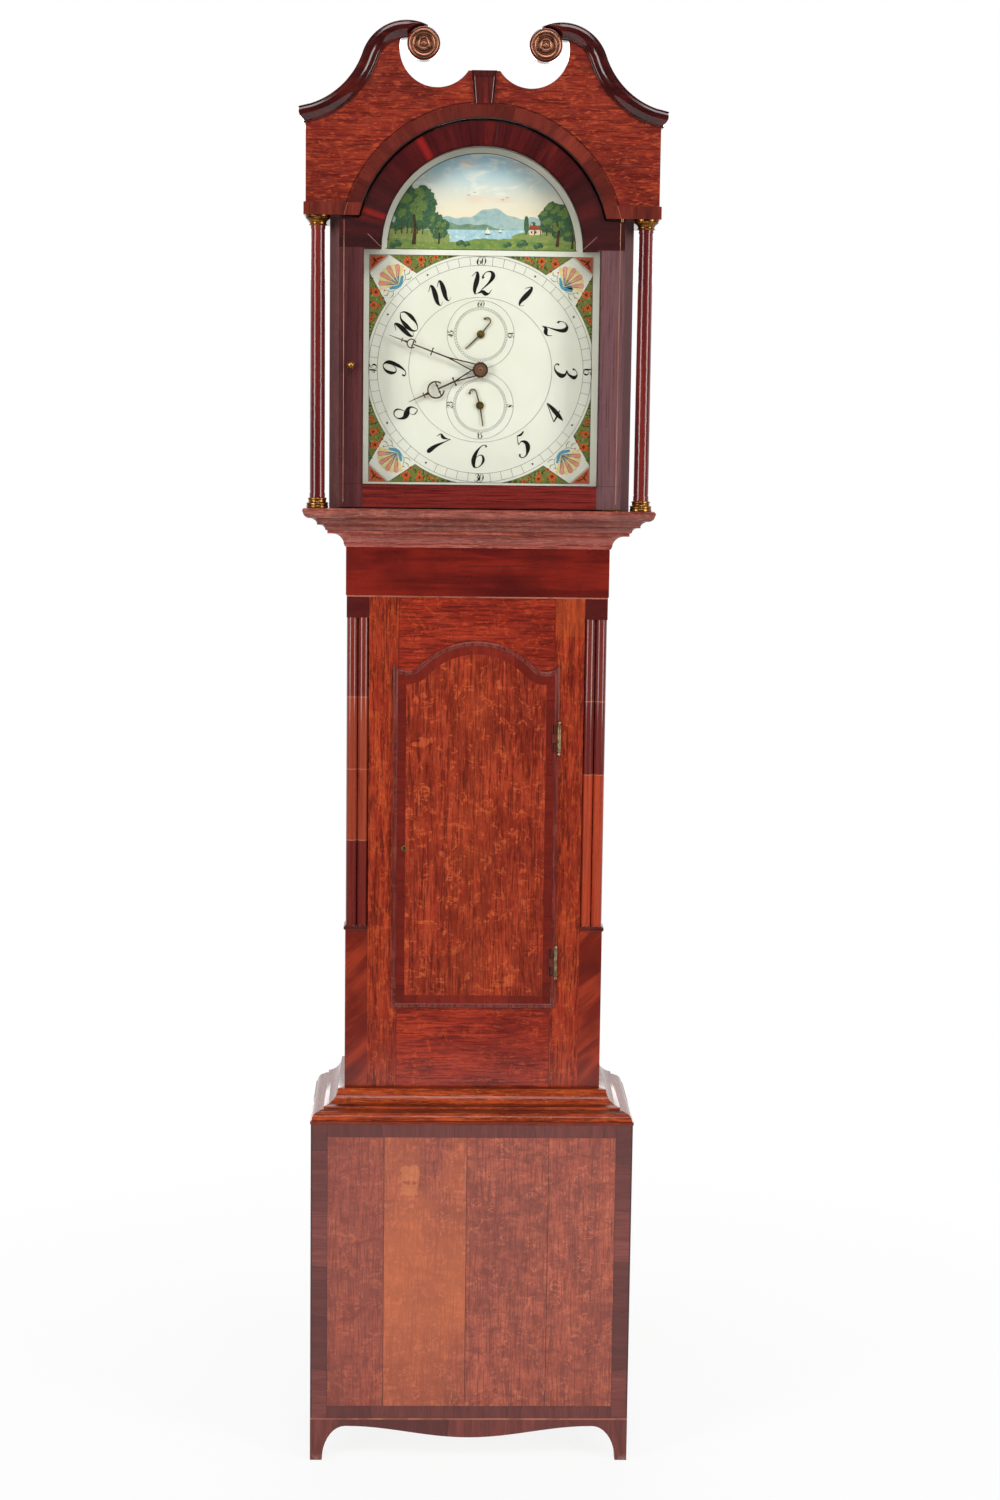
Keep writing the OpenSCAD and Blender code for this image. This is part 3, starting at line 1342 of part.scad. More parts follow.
// Seconds pendulum: suspension spring, iron rod, lens bob, rating nut
module pendulum() {
    nut_z = bob_z - bob_r - 14;
    bulge = (bob_r * bob_r + bob_t * bob_t / 4) / bob_t;
    half_angle = asin(bob_r / bulge);
    color("silver") {
        block([-0.5, 0.5], [pendulum_d - 4, pendulum_d + 4], [z_pivot - 34, z_pivot + 9.4]);
        block([-4, 4], [pendulum_d - 5, pendulum_d + 5], [z_pivot - 40, z_pivot - 32]);
        translate([0, depth(pendulum_d), nut_z - 14])
            cylinder(r = rod_r, h = z_pivot - 40 - nut_z + 14, $fn = 32);
    }
    color("goldenrod") {
        translate([0, depth(pendulum_d), bob_z]) rotate([90, 0, 0]) rotate_extrude($fn = 96) polygon(concat(
            [for (i = [0:8]) let (a = 90 - (half_angle - 0.8) * i / 8)
                [bulge * cos(a), bob_t / 2 - bulge + bulge * sin(a)]],
            [for (i = [8:-1:0]) let (a = 90 - (half_angle - 0.8) * i / 8)
                [bulge * cos(a), bulge - bob_t / 2 - bulge * sin(a)]]));
        translate([0, depth(pendulum_d), nut_z - 4]) cylinder(r = 8, h = 8, $fn = 6);
    }
}

// Strike train
module strike_great_wheel() {
    color("gold") {
        wheel(-going_x, great_z, strike_d, great_teeth, great_m, wheel_t, 90, 4, 16, 3);
        chain_wheel(-going_x);
        arbor(-going_x, great_z, 8, chain_d + 4, strike_d);
        plate_arbor(-going_x, great_z);
        for (i = [0:11]) arbor(-going_x + pin_circle * cos(i * 30 + 8),
            great_z + pin_circle * sin(i * 30 + 8),
            1.2, strike_d, strike_d + 6);
    }
}

module strike_hoop_wheel() {
    color("gold") {
        wheel(-going_x, hoop_up, hoop_d, hoop_teeth, hoop_m, wheel_t, warning_turn);
        pinion(-going_x, hoop_up, hoop_d + wheel_t / 2, strike_d + 3, hoop_leaves, great_m,
            -90 + 180 / hoop_leaves);
        plate_arbor(-going_x, hoop_up);
        translate([-going_x, depth(hoop_d - wheel_t / 2), z_dial + hoop_up]) rotate([90, 0, 0])
            rotate_extrude(angle = 330, $fn = 64) translate([9, -4]) square([2, 4]);
    }
}

module strike_warning_wheel() {
    color("gold") {
        wheel(warning_x, warning_up, warning_d, warning_teeth, warning_m, wheel_t, fly_turn, 4, 5);
        pinion(warning_x, warning_up, hoop_d - 3, hoop_d + 3, warning_leaves, hoop_m,
            warning_turn + 180 + 180 / warning_leaves);
        plate_arbor(warning_x, warning_up);
    }
}

module strike_fly() {
    color("gold") {
        pinion(fly_x, fly_up, warning_d - 2.5, warning_d + 2.5, fly_leaves, warning_m,
            fly_turn + 180 + 180 / fly_leaves);
        plate_arbor(fly_x, fly_up, pivot_pin_r + 0.1);
        arbor(fly_x, fly_up, 3, hoop_d - 26, hoop_d - 6);
        block([fly_x - 13, fly_x + 13], [hoop_d - 26, hoop_d - 6],
            [z_dial + fly_up - 0.6, z_dial + fly_up + 0.6]);
    }
}

module bell_hammer() {
    color("slategray") {
        plate_arbor(hammer_x, hammer_up);
        arbor(hammer_x, hammer_up, 4, bell_d - 3, bell_d + 3);
        translate([hammer_x, depth(bell_d), z_dial + hammer_up]) cylinder(r = 1.6, h = hammer_l, $fn = 24);
        translate([hammer_x - 9, depth(bell_d), z_dial + hammer_up + hammer_l]) rotate([0, 90, 0])
            cylinder(r = 6, h = 18, $fn = 40);
    }
}

// Cast bell over the plates, on a stand fixed to the back plate
module bell() {
    bell_x = hammer_x + 9 + 2.5 + bell_r;
    stand_x = bell_x - 28;
    bar_up = z_dial + bell_up + bell_r + 3;
    color("gainsboro") translate([bell_x, depth(bell_d), z_dial + bell_up])
        rotate_extrude($fn = 96) polygon(concat(
        [[bell_r, 0], [bell_r, 4]], arc([0, 4], bell_r - 2, 6, 84, 10), [[0, bell_r + 3], [0, bell_r - 1.5]],
        [for (i = [0:9]) let (a = 80 - 78 * i / 9) [(bell_r - 5) * cos(a), 4 + (bell_r - 5) * sin(a)]],
        [[bell_r - 4, 0]]));
    color("slategray") {
        block([stand_x - 4, stand_x + 4], [plate_rear - 5, plate_rear],
            [z_dial + plate_high - 18, bar_up + 3]);
        block([stand_x - 4, bell_x + 4], [plate_rear - 5, plate_rear + 3], [bar_up, bar_up + 3]);
        block([bell_x - 4, bell_x + 4], [plate_rear - 5, bell_d + 4], [bar_up, bar_up + 3]);
    }
}

// Chain, weight and ring
chain_top = z_dial + great_z;
pulley_x = going_x - chain_r;
pulley_z = weight_z + weight_h + 46;
module chain_fall(x0, z0, x1, z1) {
    length = sqrt(pow(x1 - x0, 2) + pow(z1 - z0, 2));
    translate([x0, depth(chain_d), z0]) rotate([0, atan2(x1 - x0, z1 - z0), 0])
        cylinder(r = chain_wire, h = length, $fn = 24);
}

module weight_chain() {
    color("gray") both_sides() chain_fall(pulley_x, pulley_z, pulley_x, chain_top);
}

module ring_chain() {
    color("gray") both_sides() chain_fall(ring_r, ring_z, going_x + chain_r, chain_top);
}

module drive_weight() {
    r = weight_r;
    wheel_r = pulley_x - chain_wire - touch_gap;
    color("dimgray") {
        translate([0, depth(chain_d), weight_z])
            rotate_extrude($fn = 72) polygon([[0, 0], [r - 3, 0], [r, 3],
            [r, weight_h - 6], [r - 6, weight_h], [0, weight_h]]);
        translate([0, depth(chain_d), weight_z + weight_h - 1]) cylinder(r = 3, h = 14, $fn = 32);
        for (d = [-5.5, 3.5]) block([-6, 6], [chain_d + d, chain_d + d + 2],
            [weight_z + weight_h + 8, pulley_z + 6]);
        block([-6, 6], [chain_d - 5.5, chain_d + 5.5], [weight_z + weight_h + 8, weight_z + weight_h + 12]);
    }
    color("goldenrod") translate([0, depth(chain_d - 5.5), pulley_z]) rotate([90, 0, 0]) {
        translate([0, 0, 2.2])
            rotate_extrude($fn = 64) polygon([[0, 0], [wheel_r + 1.6, 0], [wheel_r + 1.6, 0.8],
            [wheel_r, 2], [wheel_r, 4.6], [wheel_r + 1.6, 5.8], [wheel_r + 1.6, 6.6], [0, 6.6]]);
        cylinder(r = 1.8, h = 11, $fn = 32);
    }
}

module counter_ring() {
    color("dimgray") translate([0, depth(chain_d), ring_z]) rotate([90, 0, 0]) rotate_extrude($fn = 72)
        translate([ring_r - 6.3, 0]) circle(r = 4, $fn = 32);
}

pine_carcass();
base_sides();
base_front();
base_crossbanding();
boxwood_stringing();
bracket_apron();
base_moulding();
trunk_sides();
trunk_front_frame();
corner_columns();
corner_blocks();
frieze();
throat_moulding();
seatboard();
frame_hinge_leaves();
trunk_door();
trunk_door_banding();
trunk_door_moulding();
door_hinge_leaves();
trunk_lock();
lock_bolt();
hood_base();
hood_sides();
tympanum();
tympanum_banding();
keystone();
swan_neck_cornice();
rosettes();
hood_columns();
column_mounts();
hood_roof();
dial_mask();
hood_door_frame();
hood_door_glass();
hood_door_fittings();
dial_plate();
minute_hand();
hour_hand();
seconds_hand();
calendar_hand();
movement_frame();
going_great_wheel();
centre_wheel();
third_wheel();
escape_wheel();
minute_wheel();
hour_wheel();
calendar_wheel();
pallet_anchor();
pendulum();
strike_great_wheel();
strike_hoop_wheel();
strike_warning_wheel();
strike_fly();
bell_hammer();
bell();
weight_chain();
ring_chain();
drive_weight();
counter_ring();
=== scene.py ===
import math
import random

import bpy
from mathutils import Matrix, Vector


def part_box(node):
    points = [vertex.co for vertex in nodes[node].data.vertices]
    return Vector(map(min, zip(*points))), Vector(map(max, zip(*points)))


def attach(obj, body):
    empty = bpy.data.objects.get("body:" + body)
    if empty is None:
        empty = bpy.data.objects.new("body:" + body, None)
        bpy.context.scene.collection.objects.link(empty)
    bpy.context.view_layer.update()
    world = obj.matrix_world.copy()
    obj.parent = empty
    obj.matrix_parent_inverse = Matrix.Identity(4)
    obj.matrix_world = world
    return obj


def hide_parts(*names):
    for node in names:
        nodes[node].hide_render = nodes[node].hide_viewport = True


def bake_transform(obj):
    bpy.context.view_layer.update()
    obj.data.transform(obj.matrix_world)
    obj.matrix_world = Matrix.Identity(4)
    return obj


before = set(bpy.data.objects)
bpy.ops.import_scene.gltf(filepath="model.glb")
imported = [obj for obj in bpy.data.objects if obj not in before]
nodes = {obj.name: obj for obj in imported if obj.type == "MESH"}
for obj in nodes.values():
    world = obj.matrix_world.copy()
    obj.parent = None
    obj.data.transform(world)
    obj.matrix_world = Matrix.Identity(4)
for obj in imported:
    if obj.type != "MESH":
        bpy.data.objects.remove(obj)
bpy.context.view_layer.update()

# The place where the clock stands: soft studio light in a white room, seen from a little to the
# left of the middle and from just above eye height. Behind the clock hangs white paper, which shows
# to the camera and through the glass, and the room before it is dim in the polish.
camera_place = (-0.0787, -3.8695, 1.6399)
yaw, pitch, roll = -0.0303, 0.1362, 0.01283
camera_data = bpy.data.cameras.new("camera")
camera_data.sensor_fit = "VERTICAL"
camera_data.sensor_height = 36
camera_data.lens = 60.53
camera_data.clip_start = 0.05
camera = bpy.data.objects.new("camera", camera_data)
bpy.context.scene.collection.objects.link(camera)
bpy.context.scene.camera = camera
right = Vector((math.cos(yaw), math.sin(yaw), 0))
forward = Vector((-math.cos(pitch) * math.sin(yaw), math.cos(pitch) * math.cos(yaw), -math.sin(pitch)))
above = Vector((-math.sin(pitch) * math.sin(yaw), math.sin(pitch) * math.cos(yaw), math.cos(pitch)))
stand = Matrix((
    right * math.cos(roll) + above * math.sin(roll),
    above * math.cos(roll) - right * math.sin(roll),
    -forward)).transposed()
camera.matrix_world = Matrix.Translation(camera_place) @ stand.to_4x4()


def softbox(name, place, target, width, height, power):
    """A large square lamp with a cloth front, turned to a point on the clock."""
    lamp = bpy.data.lights.new(name, "AREA")
    lamp.shape = "RECTANGLE"
    lamp.size = width
    lamp.size_y = height
    lamp.energy = power
    holder = bpy.data.objects.new(name, lamp)
    bpy.context.scene.collection.objects.link(holder)
    holder.location = place
    holder.rotation_euler = (Vector(target) - Vector(place)).to_track_quat("-Z", "Y").to_euler()


softbox("left_softbox", (-2.5, -2.3, 1.9), (0, 0, 1.1), 1.1, 2.4, 64)
softbox("right_softbox", (2.6, -2.1, 1.9), (0, 0, 1.1), 1.1, 2.4, 64)
softbox("top_softbox", (0.1, -2.6, 3.7), (0, 0, 0.9), 2.2, 1.1, 48)
softbox("rear_softbox", (0, 2.9, 2.6), (0, 0, 1.1), 2.6, 1.4, 47)


class Shade:
    """A value, colour or vector among some shader nodes. Sums on it add their nodes."""

    def __init__(self, looks, socket):
        self.looks = looks
        self.socket = socket

    def math(self, operation, *values):
        return self.looks.node("ShaderNodeMath", {"operation": operation}, dict(enumerate(values)))

    def __add__(self, other):
        return self.math("ADD", self, other)

    __radd__ = __add__

    def __sub__(self, other):
        return self.math("SUBTRACT", self, other)

    def __rsub__(self, other):
        return self.math("SUBTRACT", other, self)

    def __mul__(self, other):
        return self.math("MULTIPLY", self, other)

    __rmul__ = __mul__

    def __truediv__(self, other):
        return self.math("DIVIDE", self, other)

    def __pow__(self, other):
        return self.math("POWER", self, other)

    def __gt__(self, other):
        return self.math("GREATER_THAN", self, other)

    def __lt__(self, other):
        return self.math("LESS_THAN", self, other)

    def __abs__(self):
        return self.math("ABSOLUTE", self)

    def most(self, other):
        return self.math("MAXIMUM", self, other)

    def whole(self):
        return self.math("FLOOR", self)

    def part(self):
        return self.math("FRACT", self)

    def turn(self, up):
        """Angle from the upright of a point that lies this far to the right and so far up."""
        return self.math("ARCTAN2", self, up)

    def reach(self, up):
        """Distance of that point from the middle."""
        return (self ** 2 + up ** 2) ** 0.5

    def rise(self, low, high):
        """0 below low and 1 above high, with a soft step between."""
        return self.looks.node("ShaderNodeMapRange", {"interpolation_type": "SMOOTHSTEP"},
                               {"Value": self, "From Min": low, "From Max": high})

    def fall(self, low, high):
        return 1 - self.rise(low, high)


class Looks:
    """The shader nodes of the room or of a finish."""

    def __init__(self, tree):
        self.tree = tree

    def node(self, kind, settings=None, sockets=None, output=0):
        node = self.tree.nodes.new(kind)
        for key, value in (settings or {}).items():
            setattr(node, key, value)
        for key, value in (sockets or {}).items():
            if isinstance(value, Shade):
                self.tree.links.new(value.socket, node.inputs[key])
            else:
                node.inputs[key].default_value = value
        return Shade(self, node.outputs[output])

    def ray(self, kind):
        """1 for rays of one kind."""
        return self.node("ShaderNodeLightPath", output=f"Is {kind} Ray")

    def blend(self, share, under, over):
        """Two shaders mixed; over shows where share is 1."""
        return self.node("ShaderNodeMixShader", None, {0: share, 1: under, 2: over})

    def show(self, shader, output="Material Output"):
        self.tree.links.new(shader.socket, self.tree.nodes[output].inputs[0])


world = bpy.data.worlds.new("studio")
bpy.context.scene.world = world
world.use_nodes = True
world.node_tree.nodes.remove(world.node_tree.nodes["Background"])
room = Looks(world.node_tree)
white = room.node("ShaderNodeBackground", None, {"Color": (1, 1, 1, 1)})
dim = room.node("ShaderNodeBackground", None, {"Color": (1, 1, 1, 1), "Strength": 0.17})
direction = room.node("ShaderNodeTexCoord", output="Generated")
behind = room.node("ShaderNodeSeparateXYZ", None, {0: direction}, "Y")
paper = room.node("ShaderNodeMapRange", None, {"Value": behind, "From Min": -0.25, "From Max": 0.35,
                                               "To Min": 0.05, "To Max": 0.95})
mirrored = room.node("ShaderNodeBackground", None, {"Strength": paper})
unseen = room.blend(room.ray("Glossy"), dim, mirrored)
room.show(room.blend(room.ray("Camera").most(room.ray("Transmission")), unseen, white), "World Output")
bpy.context.scene.view_settings.view_transform = "Standard"

# White painted floor. It is as white as the paper behind it, and keeps a faint shadow of the clock,
# which fades out towards the edge.
floor_reach, floor_sides = 2.4, 48
shadow_reach, fade_reach = 0.35, 1.6


def paint(code):
    """A linear colour from a web code."""
    parts = [int(code[i:i + 2], 16) / 255 for i in (1, 3, 5)]
    return tuple(c / 12.92 if c <= 0.04045 else ((c + 0.055) / 1.055) ** 2.4 for c in parts) + (1,)


class Finish(Looks):
    """A material of this clock, with its own nodes. Colours are shades or web codes."""

    def __init__(self, name, **fixed):
        self.material = bpy.data.materials.new(name)
        self.material.use_nodes = True
        super().__init__(self.material.node_tree)
        self.surface = self.tree.nodes["Principled BSDF"]
        self.place = self.node("ShaderNodeTexCoord", output="Object")
        self.fix(**fixed)

    def fix(self, **fixed):
        """Sets what is the same all over the surface."""
        for socket, value in fixed.items():
            self.surface.inputs[socket.replace("_", " ")].default_value = value
        return self

    def give(self, **sockets):
        """Links what changes over the surface to the shader."""
        for key, value in sockets.items():
            self.tree.links.new(value.socket, self.surface.inputs[key.replace("_", " ")])
        return self

    def relief(self, height, depth):
        """Bumps of the given depth in metres."""
        bump = self.node("ShaderNodeBump", None, {"Height": height, "Distance": depth, "Strength": 1.0})
        return self.give(Normal=bump)

    def mix(self, share, under, over):
        """Two colours mixed; over shows where share is 1."""
        under, over = (paint(tone) if isinstance(tone, str) else tone for tone in (under, over))
        return self.node("ShaderNodeMix", {"data_type": "RGBA"}, {0: share, 6: under, 7: over}, 2)

    def axis(self, letter, place=None):
        return self.node("ShaderNodeSeparateXYZ", None, {0: place or self.place}, letter)

    def facing(self, letter):
        """How far the surface faces along an axis."""
        return self.axis(letter, self.node("ShaderNodeNewGeometry", output="Normal"))

    def spot(self, x, y, z):
        return self.node("ShaderNodeCombineXYZ", None, {0: x, 1: y, 2: z})

    def moved(self, place, by):
        return self.node("ShaderNodeVectorMath", {"operation": "ADD"}, {0: place, 1: by})

    def stretch(self, by, shift=(0, 0, 0), place=None):
        """Places scaled along each axis."""
        return self.node("ShaderNodeVectorMath", {"operation": "MULTIPLY_ADD"},
                         {0: place or self.place, 1: by, 2: shift})

    def clouds(self, scale, detail=2.0, rough=0.5, bend=0.0, place=None):
        """Soft noise, the same every way."""
        return self.node("ShaderNodeTexNoise", None, {"Vector": place or self.place, "Scale": scale,
                                                      "Detail": detail, "Roughness": rough,
                                                      "Distortion": bend})

    def streaks(self, by, detail=2.0, rough=0.5, bend=0.0, shift=(0, 0, 0), place=None):
        """Noise scaled along each axis, so that it runs with the grain."""
        return self.clouds(1, detail, rough, bend, self.stretch(by, shift, place))

    def chance(self, number):
        """A value of its own for each whole number."""
        return self.node("ShaderNodeTexWhiteNoise", {"noise_dimensions": "1D"}, {"W": number})


floor_mesh = bpy.data.meshes.new("floor")
floor_turns = [2 * math.pi * i / floor_sides for i in range(floor_sides)]
floor_mesh.from_pydata(
    [(floor_reach * math.cos(turn), floor_reach * math.sin(turn), -0.0002) for turn in floor_turns],
    [], [list(range(floor_sides))])
floor = bpy.data.objects.new("floor", floor_mesh)
bpy.context.scene.collection.objects.link(floor)
floor_paint = Finish("floor_paint", Base_Color=(0.86, 0.86, 0.86, 1), Roughness=0.7, Specular_IOR_Level=0.1)
distance = floor_paint.node("ShaderNodeVectorMath", {"operation": "LENGTH"}, {0: floor_paint.place}, "Value")
fade = floor_paint.node("ShaderNodeMapRange", None, {"Value": distance, "From Min": shadow_reach,
                                                     "From Max": fade_reach, "To Min": 0.88, "To Max": 1})
painted = Shade(floor_paint, floor_paint.surface.outputs[0])
bright = floor_paint.node("ShaderNodeEmission")
floor_paint.show(floor_paint.blend(floor_paint.ray("Camera") * fade, painted, bright))
floor_mesh.materials.append(floor_paint.material)

# Carcass of the case: pine boards, left bare inside and at the back, with the backboard nailed
# into the sides and small glue blocks behind the corners.


def along(grain, fine, coarse):
    """Scale for a pattern that is fine across the grain and coarse along it."""
    return tuple(coarse if letter == grain else fine for letter in "xyz")


def pine(name, grain, light="#c79a62", dark="#9a6a38"):
    """Old unpainted pine: wide soft rings, darker late wood, dust and a few knots."""
    finish = Finish(name, Roughness=0.82, Specular_IOR_Level=0.25)
    wander = finish.streaks(along(grain, 3, 0.7), 2)
    rings = (finish.streaks(along(grain, 26, 0.9), 1, 0.4) * 7 + wander * 4).part()
    late = rings.rise(0.25, 0.8) * rings.fall(0.82, 1) * 0.75
    fibre = finish.streaks(along(grain, 900, 22), 2)
    knot = finish.streaks(along(grain, 8, 5), 0).rise(0.77, 0.82)
    dust = finish.clouds(6, 4)
    wood = finish.mix(late, light, dark)
    wood = finish.mix(fibre.rise(0.3, 0.75) * 0.35, wood, "#7c5430")
    wood = finish.mix(knot * 0.8, wood, "#54331a")
    wood = finish.mix(dust.rise(0.35, 0.75) * 0.4, wood, "#6b5640")
    finish.give(Base_Color=wood)
    return finish.relief(fibre * 0.5 + late * 0.5, 0.0003)


def dress(names, finish, soften=0.0, smooth=35):
    """Gives CAD nodes their finish, with edges worn round by that many millimetres."""
    for name in names.split():
        piece = nodes[name]
        piece.data.materials.clear()
        piece.data.materials.append(finish.material)
        weld = piece.modifiers.new("weld", "WELD")
        weld.merge_threshold = 0.00002
        if soften:
            bevel = piece.modifiers.new("worn_edges", "BEVEL")
            bevel.width = soften / 1000
            bevel.segments = 2
            bevel.limit_method = "ANGLE"
            bevel.angle_limit = math.radians(32)
            bevel.use_clamp_overlap = True
        crisp = piece.modifiers.new("crisp_edges", "EDGE_SPLIT")
        crisp.split_angle = math.radians(smooth)
        flat = piece.modifiers.new("flat_faces", "WEIGHTED_NORMAL")
        flat.weight = 90
        for face in piece.data.polygons:
            face.use_smooth = True


dress("pine_carcass", pine("pine_upright", "z"))
dress("seatboard", pine("pine_level", "x"), 1)
dress("hood_roof", pine("pine_roof", "y"))

# Sides and front of the base. The sides are single oak boards, and the front is made of four upright
# boards, glued edge to edge, with a raised field inside the crossbanding.
board_joints = (-0.135, -0.0075, 0.1185)
pale_patches = ((-0.095, 0.4635, 0.0145, 0.0125), (-0.096, 0.4385, 0.0135, 0.0095))


def polish(finish, coat=1.0, coat_rough=0.12):
    """French polish over the wood, a little uneven."""
    return finish.fix(Coat_Weight=coat, Coat_Roughness=coat_rough, Coat_IOR=1.45, Specular_IOR_Level=0.15)


def figured_oak(finish, grain, board=None, light="#ad4029", mid="#8f2f1e", dark="#5a180f", smoke="#6c231a",
                fleck="#c4552c", islands=0.6, seed=0.0, flecks=0.38, blotch=0.0):
    """Quarter-cut oak: fine streaks and smoky clouds along the grain, with short curled rays and a few
    pale islands over them. Each board has its own cut, where board gives its number."""
    place = finish.stretch((1, 1, 1), (seed, seed * 1.7, seed * 0.6))
    if board:
        place = finish.moved(place, finish.spot(board * 3.1, board * 1.3, board * 7.7))

    def cut(fine, coarse, *noise):
        return finish.streaks(along(grain, fine, coarse), *noise, place=place)

    fibre = cut(400, 22, 3, 0.7)
    streak = cut(135, 13, 3, 0.65)
    cloud = cut(34, 11, 4, 0.62)
    broad = cut(11, 6, 3, 0.55)
    rough = fibre.fall(0.44, 0.62) * 0.75 + 0.25
    worm = abs(cut(40, 52, 2, 0.55, 1.2) - 0.5).fall(0.012, 0.042) * cut(46, 40, 2).rise(0.52, 0.58)
    island = cut(34, 62, 3, 0.6, 0.8).rise(0.61, 0.66) * broad.rise(0.40, 0.54)
    small = cut(400, 85, 2, 0.5, 0.6).rise(0.55, 0.68)
    pore = cut(900, 60, 1).rise(0.62, 0.70)
    wood = finish.mix(streak.rise(0.30, 0.72), mid, light)
    wood = finish.mix(broad.fall(0.36, 0.56) * 0.45, wood, smoke)
    wood = finish.mix(cloud.rise(0.48, 0.66) * 0.6, wood, smoke)
    if blotch:
        wave = cut(30, 58, 4, 0.65, 0.9)
        wood = finish.mix(wave.rise(0.53, 0.57) * rough * (blotch * 0.6), wood, fleck)
        wood = finish.mix(wave.fall(0.39, 0.47) * blotch, wood, smoke)
    wood = finish.mix(fibre.rise(0.46, 0.62) * 0.7, wood, dark)
    wood = finish.mix(small * flecks, wood, fleck)
    wood = finish.mix(island * islands * rough, wood, fleck)
    wood = finish.mix(worm * islands * rough, wood, fleck)
    wood = finish.mix(pore * 0.55, wood, dark)
    return wood, fibre, place


def finish_oak(finish, wood, fibre, rough=0.34):
    finish.give(Base_Color=wood, Roughness=finish.clouds(23, 3) * 0.16 + (rough - 0.08))
    finish.relief(fibre, 0.00004)
    return polish(finish)


def oak_board(name, **cut):
    """A plain upright oak board."""
    finish = Finish(name)
    wood, fibre, _ = figured_oak(finish, "z", **cut)
    return finish_oak(finish, wood, fibre)


dress("base_sides", oak_board("oak_base_side", light="#a8503c", mid="#8e3f30", seed=4.0, islands=0.35), 1)

oak = Finish("oak_base_front")
across, level = oak.axis("X"), oak.axis("Z")
board = (across > board_joints[0]) + (across > board_joints[1]) + (across > board_joints[2])
wood, fibre, _ = figured_oak(oak, "z", board, light="#a9533e", mid="#924839", dark="#77362b",
                             smoke="#763a31", fleck="#c4694b", islands=0.7, flecks=0.25, blotch=0.62)
second = (across > board_joints[0]) * (across < board_joints[1])
glow = oak.streaks((14, 14, 7), 2).rise(0.3, 0.6)
middle = abs(level - 0.30).fall(0.02, 0.22)
wood = oak.mix(second * (glow * 0.2 + middle * 0.24), wood, "#d4723f")
for patch_x, patch_z, wide, high in pale_patches:
    edge = (oak.clouds(160, 2) - 0.5) * 0.012
    patch = (abs(across - patch_x) + edge).fall(wide - 0.002, wide + 0.001)
    patch = patch * (abs(level - patch_z) + edge).fall(high - 0.002, high + 0.001)
    wood = oak.mix(patch * 0.4, wood, "#d5804e")
wood = oak.mix((across < board_joints[0]) * 0.25, wood, "#742f28")
for joint in board_joints:
    wood = oak.mix(abs(across - joint).fall(0.0002, 0.0009) * 0.75, wood, "#33120e")
dress("base_front", finish_oak(oak, wood, fibre), 0.4)

# Crossbanding and apron: mahogany veneer laid with its grain across the band, in short pieces whose
# tones differ, round the oak field. A dark quarter bead runs down each front corner.
band_wide, corner_bead = 0.026, 0.0026


def banded_mahogany(finish, way, run, piece, light="#7c3a31", mid="#5f2721", dark="#35120f", seed=0.0):
    """Veneer with its grain the given way, jointed every piece metres along run."""
    spot = finish.axis(run.upper()) / piece + seed + finish.streaks((9, 9, 9), 0) * 0.5
    number = spot.whole()
    tone = finish.chance(number + seed * 3)
    place = finish.moved(finish.place, finish.spot(number * 5.3, number * 2.9, number * 8.1))
    fibre = finish.streaks(along(way, 520, 30), 3, 0.6, place=place)
    figure = finish.streaks(along(way, 90, 12), 3, 0.55, 0.5, place=place)
    wood = finish.mix(figure.rise(0.3, 0.7), mid, light)
    wood = finish.mix(tone * 0.75, wood, dark)
    wood = finish.mix(fibre.rise(0.45, 0.72) * 0.5, wood, dark)
    edge = spot.part()
    joint = edge.fall(0.0, 0.0006 / piece).most(edge.rise(1 - 0.0006 / piece, 1.0))
    wood = finish.mix(joint * 0.7, wood, "#1d0806")
    return wood, fibre


band = Finish("mahogany_base_band")
band_tones = {"light": "#83413a", "mid": "#6c322c", "dark": "#4a211f"}
upright, _ = banded_mahogany(band, "x", "z", 0.085, **band_tones)
level, _ = banded_mahogany(band, "z", "x", 0.12, seed=2.0, **band_tones)
half = nodes["base_front"].dimensions.x / 2
across = abs(band.axis("X"))
wood = band.mix(across > (half - band_wide), level, upright)
wood = band.mix((across > (half - corner_bead)) * 0.8, wood, "#3a1816")
wood = band.mix(abs(across - (half - band_wide)).fall(0.0002, 0.0008) * 0.6, wood, "#260c0a")
band.give(Base_Color=wood, Roughness=band.clouds(30, 3) * 0.15 + 0.25)
dress("base_crossbanding", polish(band), 0.3)

apron = Finish("mahogany_apron")
wood, _ = banded_mahogany(apron, "z", "x", 0.16, light="#7e3b33", mid="#662c27", dark="#451c1a", seed=5.0)
scuff = apron.axis("Z").fall(0.0, 0.012) * apron.clouds(160, 3).rise(0.4, 0.6)
apron.give(Base_Color=apron.mix(scuff * 0.5, wood, "#a08070"), Roughness=scuff * 0.3 + 0.3)
dress("bracket_apron", polish(apron), 0.6)

boxwood = Finish("boxwood_line", Roughness=0.4)
wood = boxwood.mix(boxwood.streaks((6, 300, 300), 2).rise(0.3, 0.7), "#b5705a", "#8f5040")
boxwood.give(Base_Color=boxwood.mix(boxwood.clouds(40, 2).rise(0.5, 0.65) * 0.6, wood, "#6b3523"))
dress("boxwood_stringing", polish(boxwood), 0.2)

